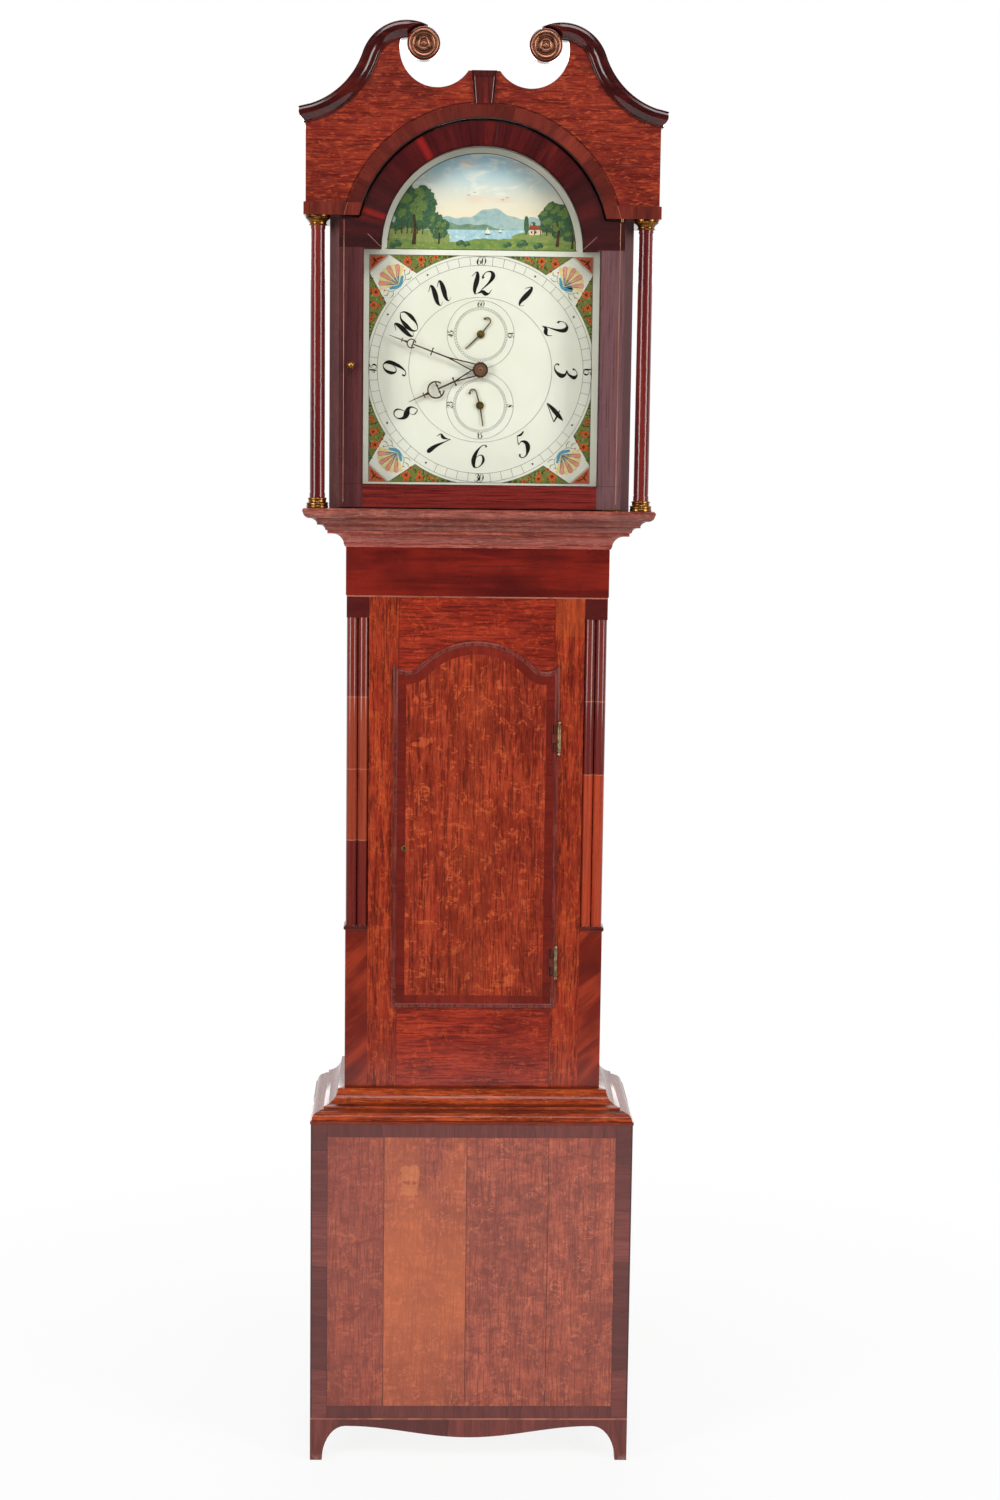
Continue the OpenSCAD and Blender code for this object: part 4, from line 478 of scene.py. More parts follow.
# Moulding between the base and the trunk: solid oak, run with a cove over a round, and mitred at
# the corners. Its grain runs along the moulding, and the tops of its ledges on the front carry painted shade.
mitre_sum, lowest_member = 0.1445, 0.5465
cove = Finish("oak_base_moulding")
front_part = cove.axis("Y") < (mitre_sum - abs(cove.axis("X")))
front_wood, fibre, _ = figured_oak(cove, "x", light="#bd4f26", mid="#983619", dark="#4c160c", smoke="#641c10",
                                   fleck="#c8692b", islands=0.3)
front_wood = cove.mix((cove.axis("Z") < lowest_member) * 0.7, front_wood, "#5e2019")
side_wood, _, _ = figured_oak(cove, "y", light="#a85a44", mid="#8c4434", dark="#4c1e16", smoke="#70342a",
                              fleck="#c07a58", islands=0.2, seed=2.0)
wood = cove.mix(front_part, side_wood, front_wood)
# Faces that look upward on the front are painted dark as painted shade, and their coat is thinned there.
shaded_ledges = cove.facing("Z").rise(0.82, 0.95)
wood = cove.mix(shaded_ledges * front_part * 0.6, wood, "#35110b")
finish_oak(cove, wood, fibre, 0.3)
cove.give(Coat_Weight=1 - front_part * (shaded_ledges * 0.3 + 0.65))
dress("base_moulding", cove, 0.5, 28)

# Trunk: oak sides that run up inside the hood, and an oak frame round the door with upright stiles
# and level rails that meet them in plain butt joints.
stile_edge = 0.1185
rail_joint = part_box("trunk_door_moulding")[1][2] - 0.075
door_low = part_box("trunk_door_moulding")[0][2]
dress("trunk_sides", oak_board("oak_trunk_side", light="#9c3d28", mid="#82301f", seed=9.0, islands=0.4), 0.8)

oak = Finish("oak_trunk_frame")
across, height = abs(oak.axis("X")), oak.axis("Z")
stile_wood, fibre, _ = figured_oak(oak, "z", light="#b04324", mid="#8b2718", dark="#430e08",
                                   smoke="#721e13", fleck="#be5726", islands=0.45, seed=3.0)
rail_wood, _, _ = figured_oak(oak, "x", light="#ac3a24", mid="#8a2617", dark="#4a0f0a", smoke="#651912",
                              fleck="#bb4823", islands=0.55, seed=6.0)
wood = oak.mix(across > stile_edge, rail_wood, stile_wood)
pale_top = (height > 1.291) * (oak.axis("X") > stile_edge)
wood = oak.mix(pale_top * 0.3, wood, "#a84c24")
joint = abs(across - stile_edge).fall(0.0002, 0.0008) * (height > rail_joint).most(height < door_low)
wood = oak.mix(joint * 0.6, wood, "#2c0c08")
dress("trunk_front_frame", finish_oak(oak, wood, fibre), 0.3)

# Corners of the trunk: three thin reeds round each front corner, turned in short lengths of
# mahogany that were jointed end to end, standing on plain veneered blocks under a small ledge.
reed_foot, left_low, left_middle, right_low, right_high, left_high, reed_top = (
    0.8, 0.975, 1.085, 1.079, 1.192, 1.196, 1.4)
reeds = Finish("mahogany_reeds")
height = reeds.axis("Z")
on_left = reeds.axis("X") < 0
on_right = 1 - on_left
wood = reeds.mix(reeds.streaks((90, 90, 2.2), 3).rise(0.3, 0.7), "#7c2a20", "#94402c")
for side, low, high, share, tone in ((on_left, left_high, reed_top, 0.75, "#74281f"),
                                     (on_left, left_low, left_high, 0.55, "#a3452a"),
                                     (on_left, reed_foot, left_low, 0.8, "#641f1b"),
                                     (on_right, right_high, reed_top, 0.85, "#6a2824"),
                                     (on_right, right_low, right_high, 0.9, "#682320"),
                                     (on_right, reed_foot, right_low, 0.75, "#b64528")):
    wood = reeds.mix(side * (height > low) * (height < high) * share, wood, tone)
wood = reeds.mix(reeds.streaks((500, 500, 9), 3, 0.6).rise(0.45, 0.72) * 0.45, wood, "#37100c")
for side, joint in ((on_left, left_low), (on_left, left_middle), (on_left, left_high), (on_right, right_low),
                    (on_right, right_high)):
    wood = reeds.mix(abs(height - joint).fall(0.0003, 0.0010) * side * 0.7, wood, "#c07858")
reeds.give(Base_Color=wood, Roughness=reeds.clouds(25, 2) * 0.16 + 0.2)
dress("corner_columns", polish(reeds, 1.0, 0.07), 0, 50)


def flame_mahogany(finish, grain, tilt=0.0, scale=1.0, light="#8f3a24", mid="#6b241b", dark="#3c100e"):
    """Crotch mahogany: broad leaning flames with fine streaks across them."""
    lean = finish.node("ShaderNodeVectorRotate", {"rotation_type": "Y_AXIS"},
                       {"Vector": finish.place, "Angle": tilt})
    flame = finish.streaks(tuple(v * scale for v in along(grain, 30, 5)), 3, 0.5, 0.9, place=lean)
    fibre = finish.streaks(along(grain, 560, 26), 3, 0.6, place=lean)
    wood = finish.mix(flame.rise(0.38, 0.6), mid, light)
    wood = finish.mix(finish.clouds(14 * scale, 2).rise(0.45, 0.75) * 0.6, wood, dark)
    wood = finish.mix(fibre.rise(0.42, 0.75) * 0.5, wood, dark)
    return wood, fibre


cap_blocks, ledge_z = 1.30, 0.8387
blocks = Finish("mahogany_corner_blocks")
height = blocks.axis("Z")
wood, fibre = flame_mahogany(blocks, "z", -0.8, light="#98351f", mid="#702014", dark="#3c100c")
plain, _ = banded_mahogany(blocks, "x", "z", 0.5, light="#70251f", mid="#5e1d1a", dark="#3c1211")
wood = blocks.mix(height > cap_blocks, wood, plain)
wood = blocks.mix((abs(height - ledge_z) < 0.0042) * 0.7, wood, "#3a1412")
blocks.give(Base_Color=wood, Roughness=blocks.clouds(25, 2) * 0.16 + 0.22)
blocks.relief(fibre, 0.00003)
dress("corner_blocks", polish(blocks), 0.4)

# Frieze under the hood: one long mahogany veneer with its grain running across the clock. It has an
# old shrinkage crack. Above it an oak cove is mitred round the top of the trunk.
crack_height, crack_middle, crack_half = 1.3965, 0.055, 0.085
frieze = Finish("mahogany_frieze")
wood, fibre = flame_mahogany(frieze, "x", 0.0, 0.9, light="#7e2016", mid="#601612", dark="#40100d")
wood = frieze.mix(frieze.streaks((2.5, 2.5, 60), 2).rise(0.52, 0.6) * 0.5, wood, "#4a100e")
crack_z = crack_height + (frieze.streaks((30, 0, 0), 2) - 0.5) * 0.006
crack = abs(frieze.axis("Z") - crack_z).fall(0.0001, 0.0006)
crack = crack * (abs(frieze.axis("X") - crack_middle) < crack_half)
wood = frieze.mix(crack * 0.85, wood, "#1a0605")
frieze.give(Base_Color=wood, Roughness=frieze.clouds(20, 3) * 0.15 + 0.2)
frieze.relief(fibre * 0.1 - crack, 0.0002)
dress("frieze", polish(frieze, 1.0, 0.08), 0.4)

throat = Finish("oak_throat")
wood, fibre, _ = figured_oak(throat, "x", light="#bc6253", mid="#9e4b3f", dark="#64231f", smoke="#853c33",
                             fleck="#db856b", islands=0.25, seed=1.0)
dress("throat_moulding", finish_oak(throat, wood, fibre, 0.3), 0.3, 28)

# Trunk door. Two book-matched oak veneers meet in an upright joint down the middle, with a band of
# cross-grained mahogany round them, all laid on an oak core that fits inside the frame. The back of
# the door was never stained.
joint_x = -0.0015
band_top, band_foot, corner_start = 1.225, 0.735, 0.108
leaf = Finish("oak_door_field")
across, height = leaf.axis("X"), leaf.axis("Z")
from_joint = abs(across - joint_x)
leaf.place = leaf.spot(from_joint, leaf.axis("Y"), height)
wood, fibre, _ = figured_oak(leaf, "z", (across > joint_x) * 0.013, light="#ab4127", mid="#8a2c1b",
                             dark="#48110b", smoke="#6a1e14", fleck="#c65a32", islands=0.75, seed=7.3,
                             flecks=0.22, blotch=0.22)
warm = from_joint.fall(0.0, 0.05) * leaf.clouds(9, 2).rise(0.3, 0.7)
wood = leaf.mix(warm * 0.35, wood, "#b5502a")
wood = leaf.mix(from_joint.fall(0.0001, 0.0007) * 0.5, wood, "#4a150c")
smoky = leaf.clouds(11, 3).rise(0.55, 0.75) * height.rise(1.0, 1.12)
wood = leaf.mix(smoky * 0.4, wood, "#6f2018")
bare = leaf.mix(fibre.rise(0.35, 0.65), "#94613a", "#6c4226")
wood = leaf.mix((leaf.facing("Y") > 0.7) * 0.85, wood, bare)
dress("trunk_door", finish_oak(leaf, wood, fibre, 0.3), 0.2)

band = Finish("mahogany_door_band")
upright, _ = banded_mahogany(band, "x", "z", 0.11, light="#83291c", mid="#6d2018", dark="#511611")
level, _ = banded_mahogany(band, "z", "x", 0.07, light="#8a2c1e", mid="#72231a", dark="#561812", seed=3.0)
height = band.axis("Z")
curved = (height > band_top).most(height < band_foot) * (abs(band.axis("X")) < corner_start)
band.give(Base_Color=band.mix(curved, upright, level), Roughness=band.clouds(30, 2) * 0.14 + 0.2)
dress("trunk_door_banding", polish(band, 1.0, 0.08), 0)

lip = Finish("mahogany_door_lip")
fibre = lip.streaks((300, 300, 18), 3)
worn = lip.clouds(45, 4, 0.6).rise(0.5, 0.7)
wood = lip.mix(worn * 0.35, lip.mix(fibre.rise(0.3, 0.7), "#5a201b", "#80352c"), "#8c4436")
lip.give(Base_Color=wood, Roughness=worn * 0.2 + 0.24)
lip.relief(lip.clouds(260, 2) * 0.5 + fibre * 0.3, 0.0002)
dress("trunk_door_moulding", polish(lip, 1.0, 0.1), 0.6, 50)

# Brass butt hinges of the trunk door. The leaves are let into the door and the frame, and a thin
# barrel with a turned ball at each end stands in the angle between the lip and the stile.


def old_brass(name, light, dark, rough):
    """Brass that was polished long ago: bright and brown in soft clouds, with small dark spots."""
    finish = Finish(name, Metallic=1.0)
    cloud = finish.clouds(120, 4, 0.6)
    spots = finish.clouds(900, 3, 0.6)
    tone = finish.mix(cloud.rise(0.35, 0.7), light, dark)
    tone = finish.mix(spots.rise(0.58, 0.7) * 0.6, tone, "#3d2a14")
    finish.give(Base_Color=tone, Roughness=cloud * 0.3 + (rough - 0.1))
    return finish.relief(spots * 0.4 + cloud, 0.0002)


def add_mesh(name, verts, faces, finish, body, slot, smooth=40, replaces=()):
    """A piece of its own, made in the clock's frame, that rides on a body if one is given."""
    mesh = bpy.data.meshes.new(name)
    mesh.from_pydata(verts, [], faces)
    mesh.validate()
    mesh.materials.append(finish.material)
    piece = bpy.data.objects.new(name, mesh)
    bpy.context.scene.collection.objects.link(piece)
    for face in mesh.polygons:
        face.use_smooth = smooth > 0
    if smooth:
        mesh.set_sharp_from_angle(angle=math.radians(smooth))
    if body:
        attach(piece, body)
    if replaces:
        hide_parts(*replaces)
    return piece


def joined(*meshes):
    """One list of vertices and faces from several."""
    verts, faces = [], []
    for more_verts, more_faces in meshes:
        start = len(verts)
        verts += more_verts
        faces += [tuple(start + i for i in face) for face in more_faces]
    return verts, faces


def turned(profile, centre, axis="z", sides=48, scallop=None):
    """A turned form: profile gives radius and distance along the axis, in metres."""
    verts = []
    for number, (radius, distance) in enumerate(profile):
        for i in range(sides):
            angle = 2 * math.pi * i / sides
            r = radius * (1 + (scallop(number, angle) if scallop else 0))
            a, b = r * math.cos(angle), r * math.sin(angle)
            if axis == "z":
                verts.append((centre[0] + a, centre[1] + b, centre[2] + distance))
            else:
                verts.append((centre[0] + a, centre[1] - distance, centre[2] + b))
    faces = []
    for row in range(len(profile) - 1):
        for i in range(sides):
            j = (i + 1) % sides
            low, high = row * sides, (row + 1) * sides
            faces.append((low + i, low + j, high + j, high + i))
    faces.append(tuple(range(sides - 1, -1, -1)))
    faces.append(tuple((len(profile) - 1) * sides + i for i in range(sides)))
    if axis != "z":
        faces = [tuple(reversed(face)) for face in faces]
    return verts, faces


leaves_low, leaves_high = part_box("frame_hinge_leaves")
sunk_edge, hinge_half, ball_sink = 0.1238, 0.0205, 0.0002
barrel_x, barrel_y = 0.127, leaves_low[1] + 0.003
ball = [(0.0004, 0.0), (0.0017, 0.0004), (0.0013, 0.0012), (0.0021, 0.0020), (0.0027, 0.0034),
        (0.0027, 0.0046), (0.0020, 0.0060), (0.0009, 0.0068), (0.0002, 0.0070)]
ball_below = [(radius, -height) for radius, height in reversed(ball)]
collar = [(0.0031, -0.0006), (0.0034, -0.0002), (0.0034, 0.0002), (0.0031, 0.0006)]
hinge_brass = old_brass("brass_hinges", "#b9a27c", "#6e5434", 0.3)
leaf_brass = old_brass("brass_hinge_leaves", "#b9a27c", "#6e5434", 0.3)
bright = Shade(leaf_brass, leaf_brass.surface.inputs["Base Color"].links[0].from_socket)
sunk = (leaf_brass.axis("X") < sunk_edge) * (leaf_brass.axis("Y") < -0.05)
stained = leaf_brass.mix(leaf_brass.clouds(700, 3).rise(0.25, 0.75), "#4e1b14", "#6a2a1c")
leaf_brass.give(Base_Color=leaf_brass.mix(sunk, bright, stained), Metallic=1 - sunk)
dress("frame_hinge_leaves door_hinge_leaves", leaf_brass, 0.2)
finials = []
for middle in (leaves_low[2] + hinge_half, leaves_high[2] - hinge_half):
    for form, up in ((ball, hinge_half - ball_sink), (ball_below, ball_sink - hinge_half), (collar, -0.0070),
                     (collar, 0.0066)):
        finials.append(turned(form, (barrel_x, barrel_y, middle + up), sides=24))
add_mesh("hinge_finials", *joined(*finials), hinge_brass, "case", "brass")

# Iron lock on the back of the trunk door, with a thin brass escutcheon let into the front round the
# keyhole, and the bolt that shoots past the edge of the door.
front_y, plate_y = -0.0577, 0.1305 - 0.178
hole_x, hole_z, hole_r = -0.1081, 0.9639, 0.00165
iron = Finish("lock_iron", Metallic=0.9)
rust = iron.clouds(90, 4, 0.6)
escutcheon = iron.axis("Y") < plate_y
brass_tone = iron.mix(rust.rise(0.3, 0.7), "#c39a52", "#80602c")
tone = iron.mix(escutcheon, iron.mix(rust.rise(0.4, 0.65), "#34302e", "#5a3420"), brass_tone)
iron.give(Base_Color=tone, Roughness=rust * 0.4 + (0.42 - escutcheon * 0.2))
iron.relief(rust, 0.0002)
dress("trunk_lock", iron, 0.2)


def worn_steel(name, light="#8c8884", dark="#4f4a46", rough=0.36):
    """Forged steel with file marks and a thin brown bloom."""
    finish = Finish(name, Metallic=1.0)
    bloom = finish.clouds(140, 4, 0.6)
    scratch = finish.streaks((900, 900, 60), 2)
    tone = finish.mix(bloom.rise(0.35, 0.7), light, dark)
    tone = finish.mix(bloom.rise(0.62, 0.72) * 0.6, tone, "#4a2f1e")
    finish.give(Base_Color=tone, Roughness=scratch * 0.25 + (rough - 0.1))
    return finish.relief(scratch, 0.0001)


dress("lock_bolt", worn_steel("forged_steel"), 0.4)
# The keyhole is a flat near-black sheet on the front of the door: painted shade for the hole into the lock.
hole_shade_paint = Finish("keyhole_dark", Roughness=0.9)
hole_shade_paint.give(Base_Color=hole_shade_paint.mix(hole_shade_paint.clouds(700, 2), "#0a0706", "#1c1410"))
round_part = [(hole_r * math.cos(i * math.pi / 12), 0.0008 + hole_r * math.sin(i * math.pi / 12))
              for i in range(24)]
slot_part = [(-0.0007, 0), (0.0007, 0), (0.0011, -0.0036), (-0.0011, -0.0036)]
verts = [(hole_x + x, front_y, hole_z + z) for x, z in round_part]
verts += [(hole_x + x, front_y - 0.00002, hole_z + z) for x, z in slot_part]
add_mesh("keyhole", verts, [tuple(range(24)), (24, 25, 26, 27)], hole_shade_paint, "trunk_door_leaf", "iron",
         smooth=0)

# Hood: oak boards over the trunk, which slide off to the front. The base moulding is oak, run in
# one piece and mitred, and the sides are thin boards stepped out under the roof.
arch_z, arch_r, board_edge = 1.8653, 0.1883, -0.1135
scallop_r, base_z = 0.2092, 0.06
oak = Finish("oak_hood_base")
front_part = oak.axis("Y") < (mitre_sum - abs(oak.axis("X")))
front_wood, fibre, _ = figured_oak(oak, "x", light="#a35644", mid="#8b4034", dark="#58211b",
                                   smoke="#72362f", fleck="#c37156", islands=0.3, seed=11.0)
side_wood, _, _ = figured_oak(oak, "y", light="#994f40", mid="#803c32", dark="#53211b",
                              smoke="#6a322b", fleck="#ba6b51", islands=0.2, seed=12.0)
dress("hood_base", finish_oak(oak, oak.mix(front_part, side_wood, front_wood), fibre, 0.26), 0.4, 28)

oak = Finish("oak_hood_sides")
wood, fibre, _ = figured_oak(oak, "z", light="#8c3a2a", mid="#742b20", dark="#45150f", smoke="#5d211b",
                             fleck="#a8553a", islands=0.35, seed=13.0)
# The front edges of both sides are painted a greyish pink, the right one more: a painted sheen.
painted_sheen_front = oak.facing("Y") < -0.7
painted_sheen_right = oak.axis("X") > 0
wood = oak.mix(painted_sheen_front * (painted_sheen_right * 0.25 + 0.5), wood, "#8f7072")
dress("hood_sides", finish_oak(oak, wood, fibre), 0.6)

oak = Finish("oak_tympanum")
wood, fibre, place = figured_oak(oak, "x", light="#90331f", mid="#76221a", dark="#44120d",
                                 smoke="#571a16", fleck="#ac4728", islands=0.3, seed=15.0, flecks=0.75)
ray = oak.streaks((20, 20, 60), 2, 0.5, 0.7, place=place)
wood = oak.mix(ray.rise(0.56, 0.62) * 0.15, wood, "#9a4430")
up = oak.axis("Z") - arch_z
reach = oak.axis("X").reach(up)
# The soffit under the arch is painted near-black as painted shade, without coat and fully rough, and a thin
# painted shadow line runs round the field just outside the band.
soffit = (reach < arch_r) * (oak.axis("Y") > board_edge)
shade = abs(reach - scallop_r).fall(0.0003, 0.0018) * (up > base_z)
wood = oak.mix(soffit.most(shade * 0.7), wood, "#1b0806")
finish_oak(oak, wood, fibre, 0.28)
oak.give(Coat_Weight=1 - soffit, Roughness=soffit.most(0.27))
dress("tympanum", oak, 0.3)

# Banding of the pediment: mahogany veneer laid like rays round the arch, with a dark bead on its
# inner edge, and a straight band across the bottom with its grain upright, mitred at the arch.
band_top = 1.9293
band_rim, mitre_r, bead_r, bead_width = 0.2081, 0.2072, 0.1876, 0.0010
bead_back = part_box("tympanum")[0][1] - 0.0012
band = Finish("mahogany_tympanum_band")
across, up = band.axis("X"), band.axis("Z") - arch_z
turn, reach = across.turn(up), across.reach(up)
ray_place = band.spot(turn * 0.2, 0.0, reach)
fibre = band.streaks((520, 1, 26), 3, 0.6, place=ray_place)
figure = band.streaks((60, 1, 9), 3, 0.55, 0.4, place=ray_place)
tone = band.chance((turn * 3.1 + 10.3).whole())
ray_wood = band.mix(figure.rise(0.3, 0.7), "#66251d", "#833426")
ray_wood = band.mix(tone * 0.85, ray_wood, "#451612")
ray_wood = band.mix(fibre.rise(0.45, 0.72) * 0.5, ray_wood, "#310d0c")
flat_wood = band.mix(band.streaks((70, 70, 9), 3, 0.55, 0.4).rise(0.3, 0.7), "#551f19", "#752d22")
flat_wood = band.mix(band.streaks((520, 520, 24), 3, 0.6).rise(0.45, 0.72) * 0.5, flat_wood, "#2b0c0a")
below = band.axis("Z") < band_top
wood = band.mix(below, ray_wood, flat_wood)
rim = abs(reach - band_rim).fall(0.0003, 0.0012) * (1 - below)
wood = band.mix(rim * 0.6, wood, "#240b09")
mitre = (abs(reach - mitre_r) * below).fall(0.0002, 0.0007) * below
wood = band.mix(mitre * 0.5, wood, "#b06a4c")
band.give(Base_Color=wood, Roughness=band.clouds(30, 3) * 0.14 + 0.2)
dress("tympanum_banding", polish(band, 0.9, 0.14))


def swept(points, section, close=False):
    """A section carried along points in the plane of the clock's front. The section gives the
    distance to the left of the way and the distance to the front."""
    verts, faces = [], []
    count = len(points)
    for i, (x, z) in enumerate(points):
        if close:
            before, after = points[i - 1], points[(i + 1) % count]
        else:
            before, after = points[max(i - 1, 0)], points[min(i + 1, count - 1)]
        way = Vector((after[0] - before[0], after[1] - before[1])).normalized()
        left = Vector((-way.y, way.x))
        for side, front in section:
            verts.append((x + left.x * side, front, z + left.y * side))
    n = len(section)
    for i in range(count if close else count - 1):
        for k in range(n):
            a, b = i * n + k, i * n + (k + 1) % n
            c, d = (i + 1) % count * n + k, (i + 1) % count * n + (k + 1) % n
            faces.append((a, c, d, b))
    if not close:
        faces.append(tuple(range(n)))
        faces.append(tuple((count - 1) * n + k for k in reversed(range(n))))
    return verts, faces


def half_round(radius, base, sides=8):
    """Section of a bead that lies on a face: base is the y of the face."""
    return [(radius * math.cos(math.pi * i / sides), base - radius * math.sin(math.pi * i / sides))
            for i in range(sides + 1)]


def arch_points(radius, start, steps=72):
    """Points round the arch from left to right, from and to an angle over its springing."""
    turns = [math.pi - start - (math.pi - 2 * start) * i / steps for i in range(steps + 1)]
    return [(radius * math.cos(turn), arch_z + radius * math.sin(turn)) for turn in turns]


dark_line = Finish("ebonised_bead")
grain = dark_line.streaks((200, 200, 200), 3)
dark_line.give(Base_Color=dark_line.mix(grain.rise(0.35, 0.7), "#240d0b", "#3d1813"),
               Roughness=grain * 0.2 + 0.3)
polish(dark_line, 0.4, 0.3)
arch_bead = arch_points(bead_r, math.asin((band_top - arch_z) / bead_r))
add_mesh("arch_bead", *swept(arch_bead, half_round(bead_width, bead_back)), dark_line, "hood",
         "dark_mahogany")

# Keystone between the scallops: dark mahogany that tapers downwards, with a pale line leaning along
# each side and a glowing streak of figure between them, under a plain cap.
key_top, key_half, key_taper = 2.1188, 0.0183, 0.085
key = Finish("mahogany_keystone")
height, across = key.axis("Z"), abs(key.axis("X"))
fibre = key.streaks((400, 400, 20), 3)
wood = key.mix(fibre.rise(0.3, 0.7), "#3f1614", "#5a1f1b")
lean = across - key_half + (key_top - height) * key_taper
wood = key.mix(lean.rise(-0.0032, -0.0028), wood, "#2a0e0c")
glow = (across + 0.004).fall(0.003, 0.011) * height.fall(key_top - 0.026, key_top - 0.012)
wood = key.mix(glow * key.streaks((120, 120, 30), 2).rise(0.4, 0.65) * 0.7, wood, "#8f2a22")
pale_line = abs(lean + 0.0034).fall(0.0002, 0.0005) * (height < key_top - 0.0075)
wood = key.mix(pale_line * 0.75, wood, "#b39a94")
wood = key.mix((height > key_top - 0.008) * 0.5, wood, "#3a1411")
key.give(Base_Color=wood, Roughness=fibre * 0.12 + 0.18)
dress("keystone", polish(key, 1.0, 0.08), 0.5)

# Swan necks: dark mahogany, carved from the solid along two S curves that meet the rosettes, and
# mitred at the outer corners to a straight length that runs back along each side.
tip_z, half_tymp, case_back = 2.0623, 0.2585, 0.1305
neck_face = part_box("tympanum")[0][1]
neck_width, neck_out, rose_r = 0.024, 0.010, 0.024
tip_steps, hollow_steps, round_steps = 1, 39, 70
hollow_r, round_r, round_x = 0.117, 0.068, -0.112
hollow = (-0.2870, tip_z + hollow_r)
round_c = (round_x, hollow[1] - math.sqrt((hollow_r + round_r) ** 2 - (round_x - hollow[0]) ** 2))
tip_way = math.radians(4) - math.acos((-half_tymp - hollow[0]) / hollow_r)
meet = math.atan2(round_c[1] - hollow[1], round_c[0] - hollow[0])
rose_way = math.radians(56.5)
rose_reach = round_r - rose_r - 0.001
rose = (round_c[0] + rose_reach * math.cos(rose_way), round_c[1] + rose_reach * math.sin(rose_way))
neck_section = [(0, 0), (0, 0.96), (0.01, 0.99), (0.02, 1.0), (0.07, 1.0), (0.085, 0.99), (0.09, 0.94),
                (0.105, 0.90), (0.125, 0.905), (0.16, 0.935), (0.21, 0.965), (0.27, 0.98), (0.33, 0.975),
                (0.39, 0.95), (0.45, 0.91), (0.51, 0.85), (0.57, 0.77), (0.63, 0.67), (0.69, 0.56),
                (0.74, 0.45), (0.785, 0.355), (0.82, 0.29), (0.85, 0.245), (0.87, 0.23), (0.88, 0.235),
                (0.885, 0.30), (0.90, 0.335), (0.925, 0.345), (0.95, 0.335), (0.97, 0.30), (0.985, 0.22),
                (1.0, 0.12), (1, 0)]
neck_wood = Finish("mahogany_swan_necks")
wood = neck_wood.mix(neck_wood.streaks((12, 60, 60), 3, 0.5, 0.6).rise(0.35, 0.75), "#2f0d0c", "#541612")
wood = neck_wood.mix(neck_wood.streaks((14, 300, 300), 3).rise(0.45, 0.72) * 0.5, wood, "#2c0908")
neck_wood.give(Base_Color=wood, Roughness=neck_wood.clouds(60, 3) * 0.14 + 0.14)
polish(neck_wood, 1.0, 0.05)


def neck_point(number, down, out):
    """Point of the left neck's section: first at the mitred tip, then along the hollow curve, and
    then along the round one, which makes room for the rosette."""
    r = hollow_r + neck_width * down
    if number < tip_steps:
        x = -half_tymp - neck_out * out
        return x, hollow[1] - math.sqrt(r * r - (x - hollow[0]) ** 2)
    if number <= hollow_steps + tip_steps:
        way = tip_way + (meet - tip_way) * (number - tip_steps) / hollow_steps
        return hollow[0] + r * math.cos(way), hollow[1] + r * math.sin(way)
    start = meet + math.pi
    way = start + (rose_way + math.radians(7) - start) * (number - tip_steps - hollow_steps) / round_steps
    inner = round_r - neck_width
    clear = (rose_r + 0.0006) ** 2 - (rose_reach * math.sin(way - rose_way)) ** 2
    if clear > 0:
        inner = max(inner, rose_reach * math.cos(way - rose_way) + math.sqrt(clear))
    r = round_r - (round_r - inner) * down
    return round_c[0] + r * math.cos(way), round_c[1] + r * math.sin(way)


def neck_row(number, back=False):
    row = []
    for down, out in neck_section:
        x, z = neck_point(number, down, out)
        row.append((x, case_back - 0.002 if back else neck_face - neck_out * out, z))
    return row


def skin(rows, end=True):
    """Faces between rows of points, closed at the first row and, where end is true, at the last."""
    n, last = len(rows[0]), len(rows) - 1
    faces = [(i * n + k, (i + 1) * n + k, (i + 1) * n + k + 1, i * n + k + 1)
             for i in range(last) for k in range(n - 1)]
    faces.append(tuple(range(n)))
    if end:
        faces.append(tuple(last * n + k for k in reversed(range(n))))
    return [point for row in rows for point in row], faces


def mirrored(verts, faces):
    """The same piece on the other side of the clock."""
    return [(-x, y, z) for x, y, z in verts], [(face[0], *reversed(face[1:])) for face in faces]


swan_neck = skin([neck_row(number) for number in range(tip_steps + hollow_steps + round_steps + 1)])
side_length = skin([neck_row(0, True), neck_row(0)], end=False)
necks = joined(swan_neck, side_length, mirrored(*swan_neck), mirrored(*side_length))
add_mesh("swan_necks", *necks, neck_wood, "hood", "dark_mahogany", 30, replaces=("swan_neck_cornice",))

# Rosettes: thin coppery brass, stamped with a milled edge, on turned mahogany blocks.
mill_ticks, mill_depth = 56, 0.010
stamped = [(0.0222, 0.0100), (0.0224, 0.0104), (0.0222, 0.0116), (0.0212, 0.0126), (0.0186, 0.0133),
           (0.0158, 0.0131), (0.0142, 0.0122), (0.0136, 0.0112), (0.0122, 0.0108), (0.0104, 0.0112),
           (0.0096, 0.0123), (0.0088, 0.0132), (0.0078, 0.0136), (0.0068, 0.0131), (0.0060, 0.0124),
           (0.0040, 0.0125), (0.0034, 0.0131), (0.0026, 0.0143), (0.0016, 0.0149), (0.0002, 0.0150)]
block = [(0.0238, 0.0), (0.0240, 0.0060), (0.0240, 0.0088), (0.0236, 0.0098), (0.0229, 0.0101), (0.0, 0.0101)]
rose_wood = Finish("rosette_blocks")
grain = rose_wood.streaks((60, 300, 300), 3)
rose_wood.give(Base_Color=rose_wood.mix(grain.rise(0.3, 0.7), "#571a15", "#7a281e"),
               Roughness=grain * 0.15 + 0.16)
polish(rose_wood, 1.0, 0.06)
copper = old_brass("rosette_brass", "#a67058", "#4c2a1f", 0.26)
across, up = abs(copper.axis("X")) - abs(rose[0]), copper.axis("Z") - rose[1]
reach = across.reach(up)
